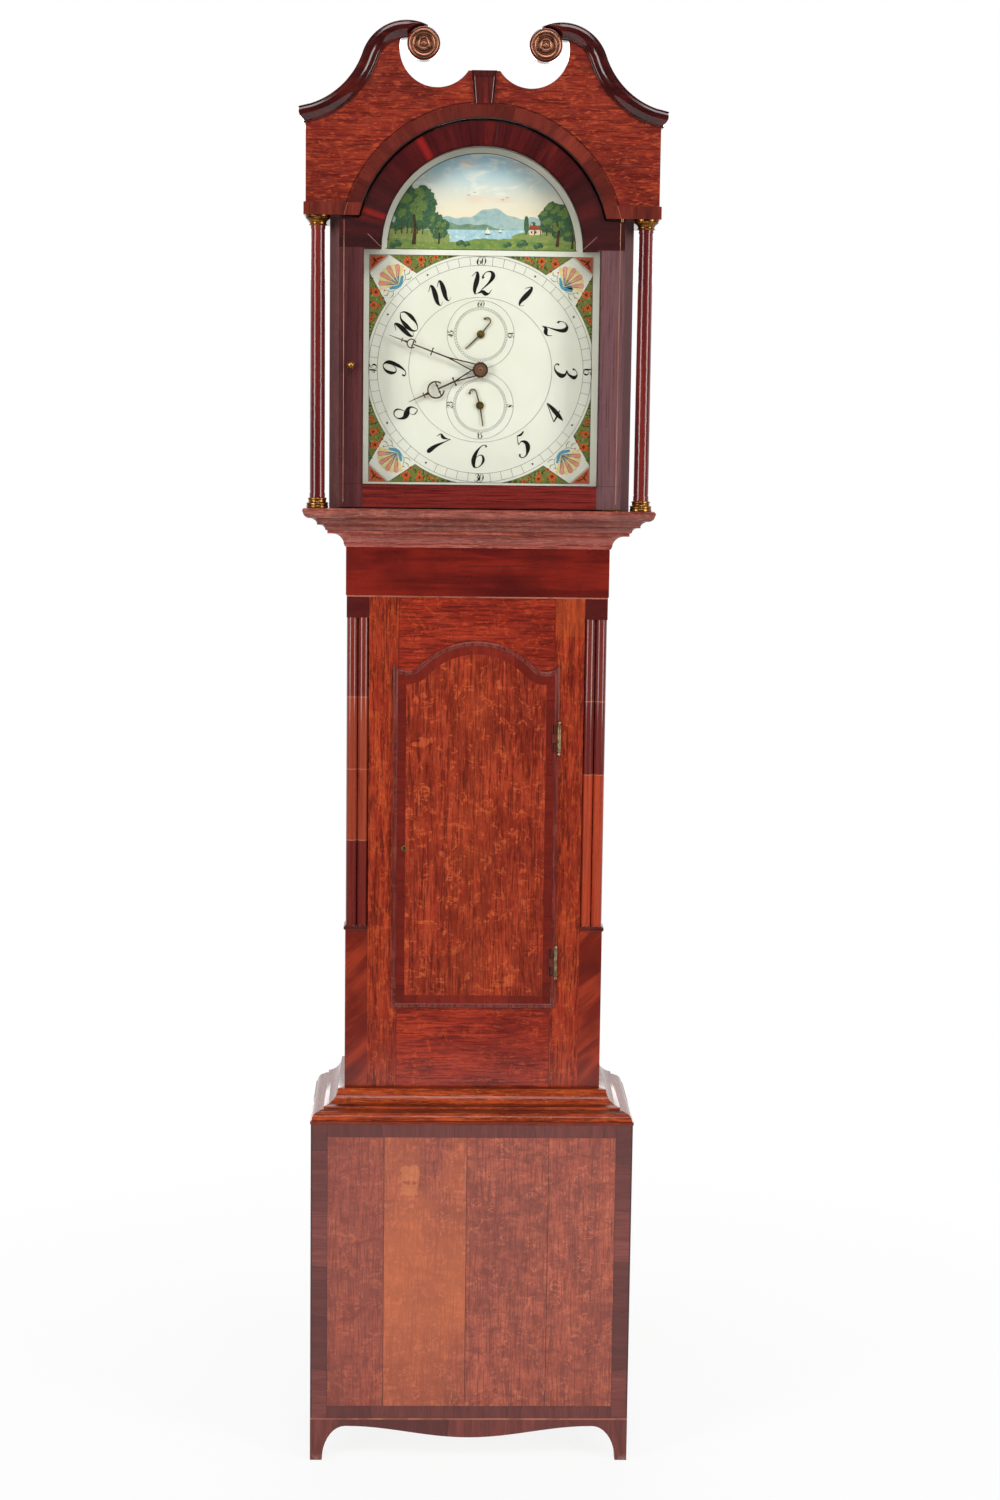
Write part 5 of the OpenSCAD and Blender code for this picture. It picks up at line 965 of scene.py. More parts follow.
ticks = (across.turn(up) * (mill_ticks / (2 * math.pi))).part().rise(0.3, 0.6)
ticks = ticks * (reach > 0.0146) * (reach < 0.0208)
grooves = abs(reach - 0.0052).fall(0.0005, 0.0015).most(abs(reach - 0.0118).fall(0.0008, 0.0024))
grooves = grooves.most(ticks * 0.45).most(reach.rise(0.0206, 0.0222))
metal = copper.mix(copper.clouds(90, 3).rise(0.3, 0.75) * 0.3, "#a67058", "#6b4231")
copper.give(Base_Color=copper.mix(grooves * 0.85, metal, "#2b130d"))


def milled(number, angle):
    """The rim of the stamping is milled, the rest of it is round."""
    return mill_depth * math.cos(mill_ticks * angle) if 2 <= number <= 4 else 0.0


centres = [(side * abs(rose[0]), neck_face, rose[1]) for side in (-1, 1)]
blocks = [turned(block, centre, "y", 96) for centre in centres]
stamps = [turned(stamped, centre, "y", 288, milled) for centre in centres]
add_mesh("rosette_turned_blocks", *joined(*blocks), rose_wood, "hood", "dark_mahogany", 40,
         replaces=("rosettes",))
add_mesh("rosette_stampings", *joined(*stamps), copper, "hood", "brass", 60)

# Columns: turned mahogany, free all round, with a gap before the side of the hood, between pressed
# brass capitals and bases. The iron pins of the capitals are hidden in the wood.
column_x, column_y, foot_low, cap_low = 0.241, case_back - 0.227, 1.4843, 1.8963
cap_r, foot_r = 0.0185, 0.0162
capital = ((0.66, 0.0), (0.70, 0.0004), (0.74, 0.0012), (0.70, 0.0020), (0.66, 0.0024), (0.655, 0.0032),
           (0.67, 0.0044), (0.70, 0.0056), (0.75, 0.0068), (0.81, 0.0078), (0.875, 0.0085), (0.885, 0.0090),
           (0.90, 0.0092), (0.95, 0.0096), (0.985, 0.0104), (0.995, 0.0112), (0.975, 0.0120), (0.94, 0.0123),
           (0.94, 0.0126), (0.99, 0.0128), (1.0, 0.0132), (1.0, 0.0142), (0.985, 0.0145))
foot = ((0.985, 0.0), (1.0, 0.0004), (1.0, 0.0032), (0.985, 0.0036), (0.95, 0.0038), (0.95, 0.0041),
        (0.975, 0.0046), (0.99, 0.0056), (0.985, 0.0068), (0.95, 0.0078), (0.90, 0.0083), (0.84, 0.0086),
        (0.815, 0.0096), (0.80, 0.0108), (0.81, 0.0118), (0.83, 0.0122), (0.86, 0.0128), (0.865, 0.0136),
        (0.84, 0.0146), (0.78, 0.0152), (0.76, 0.0155))
column = Finish("mahogany_columns")
wood = column.mix(column.streaks((70, 70, 2.6), 3, 0.5, 0.5).rise(0.3, 0.7), "#54181a", "#7e2a22")
wood = column.mix(column.streaks((400, 400, 9), 3, 0.6).rise(0.45, 0.72) * 0.55, wood, "#2b0b0d")
column.give(Base_Color=wood, Roughness=column.clouds(20, 2) * 0.14 + 0.14)
dress("hood_columns", polish(column, 1.0, 0.05), 0, 50)
mount_brass = old_brass("column_brass", "#a9773c", "#5f3615", 0.24)
mounts = []
for side in (-1, 1):
    for form, radius, low in ((capital, cap_r, cap_low), (foot, foot_r, foot_low)):
        profile = [(radius * share, up) for share, up in form]
        mounts.append(turned(profile, (side * column_x, column_y, low), sides=64))
add_mesh("column_brasses", *joined(*mounts), mount_brass, "hood", "brass", 32, replaces=("column_mounts",))

# Mask: thin boards behind the door, painted a dull grey-brown, that close the gap round the dial.
mask = Finish("painted_mask", Roughness=0.55)
mask.give(Base_Color=mask.mix(mask.clouds(40, 4).rise(0.3, 0.7), "#4b3a34", "#6b5148"))
dress("dial_mask", mask, 0.2)

# Door of the hood: one flat mahogany frame with an arched head, which swings on two pins at its
# right edge. The stiles have upright grain, and the arch is veneered in short pieces like rays.
sight_half, sight_low, sight_top, sight_arch = 0.1735, 1.5208, 1.8628, 0.1475
flames = ((-1.30, 0.07, 0.70, "#8c221c"), (-0.52, 0.07, 0.75, "#931d1a"), (0.06, 0.06, 0.55, "#86231c"),
          (0.62, 0.07, 0.5, "#7f2420"), (1.22, 0.10, 0.3, "#6c211d"))
door = Finish("mahogany_hood_door")
across, height = door.axis("X"), door.axis("Z")
up, aside = height - arch_z, abs(across)
turn, reach = across.turn(up), across.reach(up)
ray_place = door.spot(turn * 0.168, 0.3, reach)
figure = door.streaks((75, 1, 7), 3, 0.55, 0.5, place=ray_place)
tone = door.chance((turn * 2.3 + 20.4 + (figure - 0.5) * 0.02).whole() + 3.0)
ray_wood = door.mix(figure.rise(0.3, 0.7), "#3b0d10", "#571617")
ray_wood = door.mix(tone * 0.45, ray_wood, "#2c0909")
ray_fibre = door.streaks((620, 1, 22), 3, 0.6, place=ray_place)
ray_wood = door.mix(ray_fibre.rise(0.45, 0.72) * 0.5, ray_wood, "#200607")
ray_wood = door.mix(abs(turn).rise(0.75, 1.25) * 0.6, ray_wood, "#2e1a1b")
for middle, width, share, flame in flames:
    shape = (abs(turn - middle) / width).fall(0.35, 1.0) * figure.rise(0.25, 0.6)
    ray_wood = door.mix(shape * share, ray_wood, flame)
stile_wood = door.mix(door.streaks((60, 60, 2.4), 3, 0.55, 0.5).rise(0.3, 0.7), "#452325", "#5e3132")
# The right stile is painted lighter and greyer: a painted sheen.
stile_wood = door.mix((across > 0.17) * 0.6, stile_wood, "#78585b")
stile_wood = door.mix(door.streaks((620, 620, 14), 3, 0.65).rise(0.45, 0.72) * 0.5, stile_wood, "#280c0e")
rail_wood = door.mix(door.streaks((14, 620, 620), 3, 0.65).rise(0.35, 0.7), "#7c2722", "#461310")
wood = door.mix(height > arch_z, stile_wood, ray_wood)
wood = door.mix((height < sight_low) * (aside < sight_half), wood, rail_wood)
foot_mitre = abs(up - (aside - sight_arch) * 0.95).fall(0.0002, 0.0007)
foot_mitre = foot_mitre * (aside > sight_arch) * (aside < 0.1680)
wood = door.mix(foot_mitre * 0.55, wood, "#b9908a")
top_joint = abs(turn - 0.115).fall(0.0006, 0.002) * (up > 0.0)
wood = door.mix(top_joint * 0.22, wood, "#a88a80")
rail_joint = abs(height - sight_low).fall(0.0002, 0.0006) * (aside > sight_half)
wood = door.mix(rail_joint * 0.5, wood, "#1d0808")
door.give(Base_Color=wood, Roughness=door.clouds(26, 3) * 0.15 + 0.2)
dress("hood_door_frame", polish(door, 1.0, 0.07), 0.4)

# A thin pale line is inlaid down each stile, and a slim dark bead stands round the glass.
line_x, line_half, line_low, line_high = 0.2025, 0.0004, 1.494, 1.905
door_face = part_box("hood_door_frame")[0][1]
bead_gap = 0.0008
inlay = Finish("pale_inlay", Roughness=0.35)
inlay.give(Base_Color=inlay.mix(inlay.streaks((300, 300, 20), 2).rise(0.3, 0.7), "#8a5a45", "#b98a70"))
strips = []
for side in (-1, 1):
    x0, x1 = side * line_x - line_half, side * line_x + line_half
    corners = ((x0, line_low), (x1, line_low), (x1, line_high), (x0, line_high))
    strips.append(([(x, door_face - 0.00012, z) for x, z in corners], [(0, 1, 2, 3)]))
add_mesh("stile_lines", *joined(*strips), polish(inlay), "glazed_door", "boxwood", 0)
half, low, shoulder = sight_half + bead_gap, sight_low - bead_gap, sight_top + bead_gap
start = math.asin((shoulder - arch_z) / (sight_arch + bead_gap))
round_glass = [(-half, low), (-half, shoulder), *arch_points(sight_arch + bead_gap, start),
               (half, shoulder), (half, low)]
add_mesh("glass_bead", *swept(round_glass, half_round(0.0011, door_face + 0.0034, 6), close=True), dark_line,
         "glazed_door", "dark_mahogany", 50)

# Old crown glass: clear, a little green, and never quite even in its shine.
glass = Finish("crown_glass", Roughness=0.0, IOR=1.45, Transmission_Weight=1.0,
               Base_Color=(0.97, 0.985, 0.975, 1))
clear = glass.node("ShaderNodeBsdfTransparent", None, {"Color": (0.975, 0.985, 0.975, 1)})
shine = glass.node("ShaderNodeBsdfGlossy", None, {"Roughness": 0.02, "Color": (1, 1, 1, 1)})
grazing = glass.node("ShaderNodeFresnel", None, {"IOR": 1.35})
glass.show(glass.blend(grazing * (glass.clouds(9, 3) * 0.1 + 0.12), clear, shine))
dress("hood_door_glass", glass)

# Turned brass knob on the left stile, on a small dished rose, and the steel pins.
dress("hood_door_fittings", old_brass("knob_brass", "#b98742", "#6a431c", 0.26), 0, 40)

# Painted dial: an iron sheet under creamy white ground, with black and fine grey-green lines, four
# corners of flowers round a shell, and a landscape in the arch. Each colour is a thin coat of its own.
dial_z, dial_face, dial_back = 1.6903, -0.0595, -0.0590
ground = Finish("dial_ground", Roughness=0.42)
craze = ground.node("ShaderNodeTexVoronoi", {"feature": "DISTANCE_TO_EDGE"},
                    {"Vector": ground.place, "Scale": 330})
tone = ground.mix(ground.clouds(9, 4, 0.6).rise(0.35, 0.75) * 0.5, "#efede0", "#e3dfcc")
tone = ground.mix(craze.fall(0.0, 0.012) * 0.07, tone, "#8a8062")
ground.give(Base_Color=ground.mix(ground.axis("Y") < dial_back, "#3c2a22", tone))
dress("dial_plate", polish(ground, 0.35, 0.3), 0.3)


def enamel(name, first, second, third=None, scale=150):
    """Oil colour laid on with a small brush, never quite even."""
    finish = Finish(name, Roughness=0.4)
    brush = finish.streaks((scale, scale, scale), 3, 0.6, 0.5)
    tone = finish.mix(brush.rise(0.3, 0.7), first, second)
    if third:
        spots = finish.clouds(scale * 2.7, 3, 0.6)
        tone = finish.mix(spots.rise(0.55, 0.66) * 0.7, tone, third)
    finish.give(Base_Color=tone)
    return polish(finish, 0.3, 0.3)


def ladder(count):
    """Faces between pairs of points that follow each other."""
    return [(2 * i, 2 * i + 1, 2 * i + 3, 2 * i + 2) for i in range(count)]


class Coat:
    """Flat brush work in one colour, at its own height over the dial's ground. Each touch of the
    brush lies a little over the one before, so that no two are level."""
    layer_step, touch_step, touch_steps = 0.00005, 0.0000015, 31

    def __init__(self, name, finish, layer, drop=0.0):
        self.name, self.finish, self.layer, self.drop = name, finish, layer, drop
        self.verts, self.faces = [], []
        self.touches = 0

    def add(self, points, faces=None, keep=None):
        """Points are millimetres from the middle of the dial, to the right and up."""
        start = len(self.verts)
        self.touches += 1
        lift = self.layer * self.layer_step + (self.touches % self.touch_steps) * self.touch_step
        for x, z in points:
            if keep:
                x, z = keep(x, z)
            self.verts.append((x / 1000, dial_face - lift, dial_z + (z - self.drop) / 1000))
        for face in faces or [tuple(range(len(points)))]:
            self.faces.append(tuple(start + i for i in face))

    def disc(self, x, z, rx, rz=None, turn=0.0, count=20, keep=None, ragged=0.0, seed=0):
        """A round or oval touch, with a ragged edge if it is foliage."""
        c, s = math.cos(turn), math.sin(turn)
        points = []
        for i in range(count):
            a = 2 * math.pi * i / count
            r = 1 + ragged * (math.sin(5 * a + seed) * 0.5 + math.sin(9 * a + seed * 2.3) * 0.5)
            u, v = rx * r * math.cos(a), (rz or rx) * r * math.sin(a)
            points.append((x + u * c - v * s, z + u * s + v * c))
        self.add(points, keep=keep)

    def ring(self, x, z, radius, width, count=240):
        points = []
        for i in range(count):
            a = 2 * math.pi * i / count
            for r in (radius - width / 2, radius + width / 2):
                points.append((x + r * math.cos(a), z + r * math.sin(a)))
        self.add(points, [tuple(corner % (2 * count) for corner in face) for face in ladder(count)])

    def line(self, a, b, width):
        d = Vector((b[0] - a[0], b[1] - a[1])).normalized() * width / 2
        self.add([(a[0] - d.y, a[1] + d.x), (b[0] - d.y, b[1] + d.x), (b[0] + d.y, b[1] - d.x),
                  (a[0] + d.y, a[1] - d.x)])

    def stroke(self, points, move=None, steps=7, thin=0.0, keep=None):
        """A brush stroke through points (x, z, width), smooth between them."""
        points = [points[0]] + list(points) + [points[-1]]
        way = []
        for i in range(len(points) - 3):
            for k in range(steps):
                t = k / steps
                way.append(tuple(0.5 * (2 * b + (c - a) * t + (2 * a - 5 * b + 4 * c - d) * t * t
                                        + (3 * b - a - 3 * c + d) * t ** 3)
                                 for a, b, c, d in zip(*points[i:i + 4])))
        way.append(tuple(points[-1]))
        edges = []
        for i, (x, z, width) in enumerate(way):
            before, after = way[max(i - 1, 0)], way[min(i + 1, len(way) - 1)]
            d = Vector((after[0] - before[0], after[1] - before[1]))
            d = d.normalized() if d.length else Vector((1, 0))
            half = max(width, thin) / 2
            edges += [(x - d.y * half, z + d.x * half), (x + d.y * half, z - d.x * half)]
        if move:
            edges = [move(x, z) for x, z in edges]
        self.add(edges, ladder(len(way) - 1), keep)

    def finish_up(self):
        add_mesh(self.name, self.verts, self.faces, self.finish, "case", "dial_paint", 0)


ink = Coat("dial_ink", enamel("ink_paint", "#15110f", "#241e1a"), 7)
fine = Coat("dial_fine_lines", enamel("line_paint", "#34372e", "#474b3f"), 6)

# The numbers are drawn by hand: swelling strokes joined by hairlines, leaning a little to the right.
digits = {
    "1": [[(0, .78, .02), (.16, .97, .05), (.24, .8, .15), (.26, .5, .2), (.27, .2, .13), (.36, .02, .03),
           (.5, .12, .015)]],
    "2": [[(.1, .7, .1), (.06, .8, .05), (.16, .97, .03), (.38, .98, .08), (.5, .78, .17), (.4, .52, .1),
           (.16, .22, .03), (.05, .05, .03)],
          [(.05, .05, .03), (.2, .13, .12), (.38, .03, .14), (.52, .06, .05), (.58, .22, .02)]],
    "3": [[(.1, .8, .09), (.12, .93, .03), (.3, 1, .04), (.46, .85, .14), (.38, .62, .08),
           (.22, .54, .03)],
          [(.22, .54, .03), (.42, .48, .08), (.52, .28, .18), (.4, .06, .09), (.2, 0, .03),
           (.06, .1, .04), (.08, .2, .09)]],
    "4": [[(.4, 1, .03), (.22, .68, .03), (.02, .32, .03)],
          [(.02, .32, .04), (.3, .33, .07), (.58, .36, .03)],
          [(.42, .98, .04), (.4, .6, .18), (.38, .25, .16), (.36, 0, .03)]],
    "5": [[(.5, 1, .05), (.34, .93, .09), (.16, .96, .03)],
          [(.16, .96, .02), (.12, .62, .03)],
          [(.12, .58, .03), (.3, .66, .05), (.48, .5, .14), (.5, .27, .19), (.36, .05, .08),
           (.18, 0, .03), (.04, .12, .05), (.08, .2, .09)]],
    "6": [[(.48, .9, .08), (.4, .99, .03), (.24, .93, .04), (.1, .68, .12), (.06, .36, .18),
           (.14, .08, .1), (.28, 0, .03), (.44, .1, .05), (.5, .3, .1), (.42, .5, .06), (.28, .55, .03),
           (.12, .42, .02)]],
    "7": [[(.02, .8, .02), (.08, .98, .05), (.26, .9, .12), (.42, .93, .05), (.56, 1, .02)],
          [(.56, 1, .02), (.42, .7, .06), (.28, .38, .15), (.24, .1, .19), (.3, 0, .08)]],
    "8": [[(.44, .84, .04), (.3, 1, .03), (.12, .86, .06), (.14, .68, .12), (.32, .52, .2),
           (.48, .34, .14), (.46, .1, .06), (.28, 0, .03), (.1, .08, .05), (.04, .26, .06),
           (.14, .42, .03), (.34, .6, .02), (.46, .74, .03), (.44, .86, .05)]],
    "9": [[(.42, .58, .02), (.3, .44, .03), (.14, .46, .05), (.06, .66, .13), (.1, .88, .1),
           (.26, 1, .03), (.42, .92, .06), (.5, .7, .16), (.46, .36, .14), (.34, .08, .06), (.2, 0, .03),
           (.08, .08, .05), (.12, .16, .08)]],
    "0": [[(.28, 1, .02), (.1, .85, .07), (.05, .5, .17), (.1, .15, .07), (.28, 0, .02), (.44, .15, .06),
           (.5, .5, .15), (.44, .85, .06), (.28, 1, .02)]]
}


def number(coat, text, x, z, high, turn=0.0, lean=0.25, bold=1.0, thin=0.3, steps=7):
    """Writes a number round a point, turned clockwise by an angle."""
    wide = {"1": 0.42}
    pen = 0.03 - sum(wide.get(letter, 0.6) for letter in text) / 2
    for letter in text:
        def move(u, v, start=pen):
            a = (start + u) * high + lean * (v - 0.5) * high
            b = (v - 0.5) * high
            return x + a * math.cos(turn) + b * math.sin(turn), z - a * math.sin(turn) + b * math.cos(turn)
        for stroke in digits[letter]:
            coat.stroke([(u, v, w * bold) for u, v, w in stroke], move, steps, thin / high)
        pen += wide.get(letter, 0.6)


chapter_r, minute_in, minute_out, five_r, inner_r = 128, 153.7, 166.6, 160, 107
small_dials = ((52.5, 60, ("60", "15", "30", "45")), (-52.5, 62, ("31", "8", "15", "23")))
for hour in range(1, 13):
    angle = math.radians(hour * 30)
    turn = angle if hour >= 9 or hour <= 3 else angle + math.pi
    number(ink, str(hour), chapter_r * math.sin(angle), chapter_r * math.cos(angle), 34, turn, 0.25, 1.12)
for minute in range(60):
    angle = math.radians(minute * 6)
    s, c = math.sin(angle), math.cos(angle)
    if minute % 5:
        fine.line((minute_in * s, minute_in * c), (minute_out * s, minute_out * c), 0.42)
    elif minute % 15:
        for k in range(4):
            ink.disc(five_r * s, five_r * c, 1.9, 0.42, k * math.pi / 4, 8)
for text, x, z, turn in (("60", 0, five_r, 0), ("15", five_r, 0, math.pi / 2), ("30", 0, -five_r, 0),
                         ("45", -five_r, 0, -math.pi / 2)):
    number(ink, text, x, z, 11.4, turn, 0.1, 1.15, 0.5)
for radius, width in ((minute_in, 0.45), (minute_out, 0.45), (inner_r, 0.4)):
    fine.ring(0, 0, radius, width)
for middle, marks, labels in small_dials:
    for radius, width in ((50, 0.4), (39.7, 0.35), (36.5, 0.35)):
        fine.ring(0, middle, radius, width, 120)
    for k in range(marks):
        a = 2 * math.pi * k / marks
        fine.disc(38.1 * math.sin(a), middle + 38.1 * math.cos(a), 0.62, 0.62, 0, 8)
    for k, (text, turn) in enumerate(zip(labels, (0, math.pi / 2, 0, -math.pi / 2))):
        a = k * math.pi / 2
        number(ink, text, 44.8 * math.sin(a), middle + 44.8 * math.cos(a), 8.4, turn, 0.15, 1.1, 0.45, 4)

# Corners: an olive ground strewn with orange flowers, with a white panel across it that holds a
# scallop shell, and a small brick-red triangle in the very corner.
art_x, art_z, disc_r, leg_x, leg_z = 166.0, 167.5, 170.6, 30.0, 27.0
disc_x, disc_z = math.sqrt(disc_r ** 2 - art_z ** 2), math.sqrt(disc_r ** 2 - art_x ** 2)
low_a, low_b, band_a = math.asin(disc_z / disc_r), math.asin(disc_x / disc_r), math.radians(34.3)
shell_x, shell_z, shell_share, shell_foot, ribs, fan_half = 133.5, 134.5, 0.83, -13, 9, 62
olive = Coat("dial_olive", enamel("olive_paint", "#7d8244", "#6a7238", "#8d9150", 300), 1)
brick = Coat("dial_brick", enamel("brick_paint", "#d3704a", "#c9603c"), 2)
leaf_dark = Coat("dial_leaves", enamel("leaf_paint", "#3f4a22", "#2f3a1c"), 3)
leaf_light = Coat("dial_light_leaves", enamel("light_leaf_paint", "#9aa860", "#88984f"), 3)
orange = Coat("dial_flowers", enamel("flower_paint", "#e0703a", "#d4572a"), 4)
maroon = Coat("dial_maroon", enamel("maroon_paint", "#7a2218", "#5c1712"), 5)
pink = Coat("dial_pink", enamel("pink_paint", "#eda999", "#e08f80"), 3)
shell_cream = Coat("dial_shell_cream", enamel("shell_cream_paint", "#efe0a8", "#e2cd84"), 4)
blue = Coat("dial_blue", enamel("blue_paint", "#5fa3bd", "#4a8dab"), 4)
quarters = [(right, up) for right in (1, -1) for up in (1, -1)]


def flipped(points, flip):
    return [(x * flip[0], z * flip[1]) for x, z in points]


def strip_ends(above, t):
    """Across the strip beside the white disc, or above it: a point on the disc, and one on the
    edge of the art, at a share of the strip's length."""
    if above:
        a = low_b + (band_a - low_b) * t
        return (disc_r * math.sin(a), disc_r * math.cos(a)), (disc_x + (art_x - leg_x - disc_x) * t, art_z)
    a = low_a + (band_a - low_a) * t
    return (disc_r * math.cos(a), disc_r * math.sin(a)), (art_x, disc_z + (art_z - leg_z - disc_z) * t)


def between(p, q, share):
    return p[0] + (q[0] - p[0]) * share, p[1] + (q[1] - p[1]) * share


def flower(x, z, r, spin, flip):
    """Six round petals, each with a dark streak, round a dark middle."""
    for k in range(6):
        a = spin + k * math.pi / 3
        petal = [(x + r * (0.62 * math.cos(a) + 0.378 * math.cos(a + j * math.pi / 5)),
                  z + r * (0.62 * math.sin(a) + 0.378 * math.sin(a + j * math.pi / 5))) for j in range(10)]
        orange.add(flipped(petal, flip))
        streak = [(x + r * out * math.cos(a + b), z + r * out * math.sin(a + b))
                  for out, b in ((0.25, -0.5), (0.86, 0), (0.25, 0.35))]
        maroon.add(flipped(streak, flip))
    maroon.add(flipped([(x + r * 0.22 * math.cos(j * 0.785), z + r * 0.22 * math.sin(j * 0.785))
                        for j in range(8)], flip))


def leaf(coat, x, z, long, wide, spin, flip):
    rim = [(long * (i / 8 - 0.5), wide * math.sin(math.pi * i / 8) ** 0.8) for i in range(9)]
    rim += [(u, -v) for u, v in rim[7:0:-1]]
    c, s = math.cos(spin), math.sin(spin)
    coat.add(flipped([(x + u * c - v * s, z + u * s + v * c) for u, v in rim], flip))


strew = random.Random(11)
strewn = []
for above in (False, True):
    for t, share, r in ((0.90, 0.55, 6.6), (0.66, 0.55, 5.6), (0.40, 0.6, 3.6), (0.78, 0.22, 3.0),
                        (0.80, 0.86, 3.0), (0.98, 0.2, 2.8), (0.53, 0.35, 2.6)):
        p, q = strip_ends(above, t)
        r = min(r, math.dist(p, q) * 0.42)
        strewn.append((*between(p, q, share), r, strew.random() * 6))
corner = [(art_x - leg_x + 2.6, art_z - 0.6), (art_x - 0.6, art_z - 0.6), (art_x - 0.6, art_z - leg_z + 2.6)]
for flip in quarters:
    for above in (False, True):
        strip = [point for i in range(25) for point in strip_ends(above, i / 24)]
        olive.add(flipped(strip, flip), ladder(24))
    for x, z, r, spin in strewn:
        flower(x, z, r, spin, flip)
    brick.add(flipped(corner, flip))
    for long, wide, spin, in_x, in_z in ((11, 1.4, 0.8, 8, 8), (8, 1.1, 1.9, 7, 12), (8, 1.1, -0.3, 13, 6),
                                         (5, 0.9, 1.3, 4.5, 15.5), (5, 0.9, 0.2, 17.5, 4.2)):
        leaf(maroon, art_x - in_x, art_z - in_z, long, wide, spin, flip)
leaf_seed = random.Random(5)
leaves_a_strip, margin = 62, 2.3
for above in (False, True):
    placed = 0
    while placed < leaves_a_strip:
        t, share = leaf_seed.random(), leaf_seed.random()
        p, q = strip_ends(above, t)
        width = math.dist(p, q)
        if width < 2 * margin + 0.5:
            continue
        x, z = between(p, q, margin / width + (1 - 2 * margin / width) * share)
        spin = leaf_seed.random() * 6.28
        size = 2.6 + leaf_seed.random() * 1.8
        placed += 1
        for flip in quarters:
            leaf(leaf_dark if placed % 3 else leaf_light, x, z, size, size * 0.26, spin, flip)


def around(radius, degrees, high=None):
    """A point round the foot of the shell."""
    a = math.radians(degrees)
    return radius * math.sin(a), shell_foot + (high or radius) * math.cos(a)


def on_disc(a):
    return disc_r * math.cos(a), disc_r * math.sin(a)


def ruled(p, q, width, flip):
    ink.line(*flipped((p, q), flip), width)


for flip in quarters:
    def place_shell(u, v):
        """u runs across the diagonal and v out along it, from the middle of the shell."""
        return flipped([(shell_x + (v - u) * shell_share, shell_z + (v + u) * shell_share)], flip)[0]
    for k in range(ribs):
        a0, a1 = (2 * fan_half * j / ribs - fan_half for j in (k, k + 1))
        rim = 26.5 - 3.0 * math.radians(abs(a0 + a1) / 2) ** 1.6
        fan = [around(rim + 1.3 * math.sin(math.pi * j / 6), a0 + (a1 - a0) * j / 6) for j in range(7)]
        fan.insert(0, (0, shell_foot))
        (pink if k % 2 else shell_cream).add([place_shell(u, v) for u, v in fan])
        if k:
            u, v = around(rim, a0)
            maroon.stroke([(0, -11, 0.25), (u * 0.5, (v - 11) * 0.5, 0.5), (u, v, 0.25)], place_shell, 4, 0.2)
    base = [around(13, d, high=10) for d in range(-70, 71, 10)] + [(4.5, -15.5), (0, -16.6), (-4.5, -15.5)]
    blue.add([place_shell(u, v) for u, v in base])
    for d in range(-55, 56, 22):
        maroon.disc(*place_shell(*around(8.5, d, high=6.6)), 0.55, count=8)
    for side in (-1, 1):
        for coat, points, thin in (
                (maroon, ((4, -15, 0.3), (12, -13, 0.5), (16, -7, 0.4), (20, -6, 0.2)), 0.25),
                (leaf_light, ((14, -10, 0.3), (20, -12, 1.3), (23, -9, 0.3)), 0.3),
                (leaf_light, ((10, -14, 0.3), (15, -17.5, 1.2), (20, -17, 0.3)), 0.3)):
            coat.stroke([(side * u, v, width) for u, v, width in points], place_shell, 5, thin)
        orange.disc(*place_shell(side * 17.6, -5.4), 1.2, count=10)
art_corners = ((-art_x, -art_z), (art_x, -art_z), (art_x, art_z), (-art_x, art_z))
above_corner, beside_corner = (art_x - leg_x, art_z), (art_x, art_z - leg_z)
for k in range(4):
    fine.line(art_corners[k], art_corners[(k + 1) % 4], 0.55)
for flip in quarters:
    ruled(above_corner, beside_corner, 0.5, flip)
    ruled(above_corner, on_disc(math.pi / 2 - band_a), 0.5, flip)
    ruled(beside_corner, on_disc(band_a), 0.5, flip)
    for a0, a1 in ((low_a, band_a), (math.pi / 2 - band_a, math.pi / 2 - low_b)):
        for j in range(8):
            ruled(on_disc(a0 + (a1 - a0) * j / 8), on_disc(a0 + (a1 - a0) * (j + 1) / 8), 0.35, flip)

# Arch of the dial: a quiet lake between wooded hills, painted on the same ground inside a thin line.
picture_r, arch_up, arch_base, arch_drop = 139.5, 184.0, 183.2, 7.0
inside_r, land_half = picture_r - 0.2, 143.0
sky = Finish("sky_paint", Roughness=0.4)
height = (sky.axis("Z") - dial_z) * 1000
drift = sky.streaks((22, 22, 48), 4, 0.6, 0.6)
warm = sky.streaks((15, 15, 60), 3, shift=(3, 0, 1))
tone = sky.mix(height.rise(228, 312), "#f1e4cb", "#a9cfdf")
tone = sky.mix(drift.rise(0.47, 0.68) * height.rise(232, 262) * 0.85, tone, "#f6efe2")
sky.give(Base_Color=sky.mix(warm.rise(0.55, 0.7) * 0.45, tone, "#f0cdb4"))


def arch_coat(name, layer, *colours):
    """One colour of the picture, on a layer of its own."""
    return Coat("arch_" + name, enamel(name.rstrip("s") + "_paint", *colours), layer, arch_drop)


def in_arch(x, z):
    """Keeps a point inside the arch of the picture."""
    up = max(z, arch_base) - arch_up
    far = math.hypot(x, up)
    if up > 0 and far > inside_r:
        return x * inside_r / far, arch_up + up * inside_r / far
    if up <= 0:
        x = max(-inside_r, min(inside_r, x))
    return x, arch_up + up


def land(coat, low, top, left=-land_half, right=land_half, steps=120):
    """Ground between two outlines, cut to the arch."""
    points = []
    for i in range(steps + 1):
        x = left + (right - left) * i / steps
        roof = arch_up + math.sqrt(max(0.0, inside_r ** 2 - x * x))
        lower = max(low(x), arch_base)
        points += [(x, lower), (x, max(lower, min(top(x), roof)))]
    coat.add(points, ladder(steps))


def rolling(base, *waves):
    return lambda x: base + sum(size * math.sin(x / length + shift) for size, length, shift in waves)


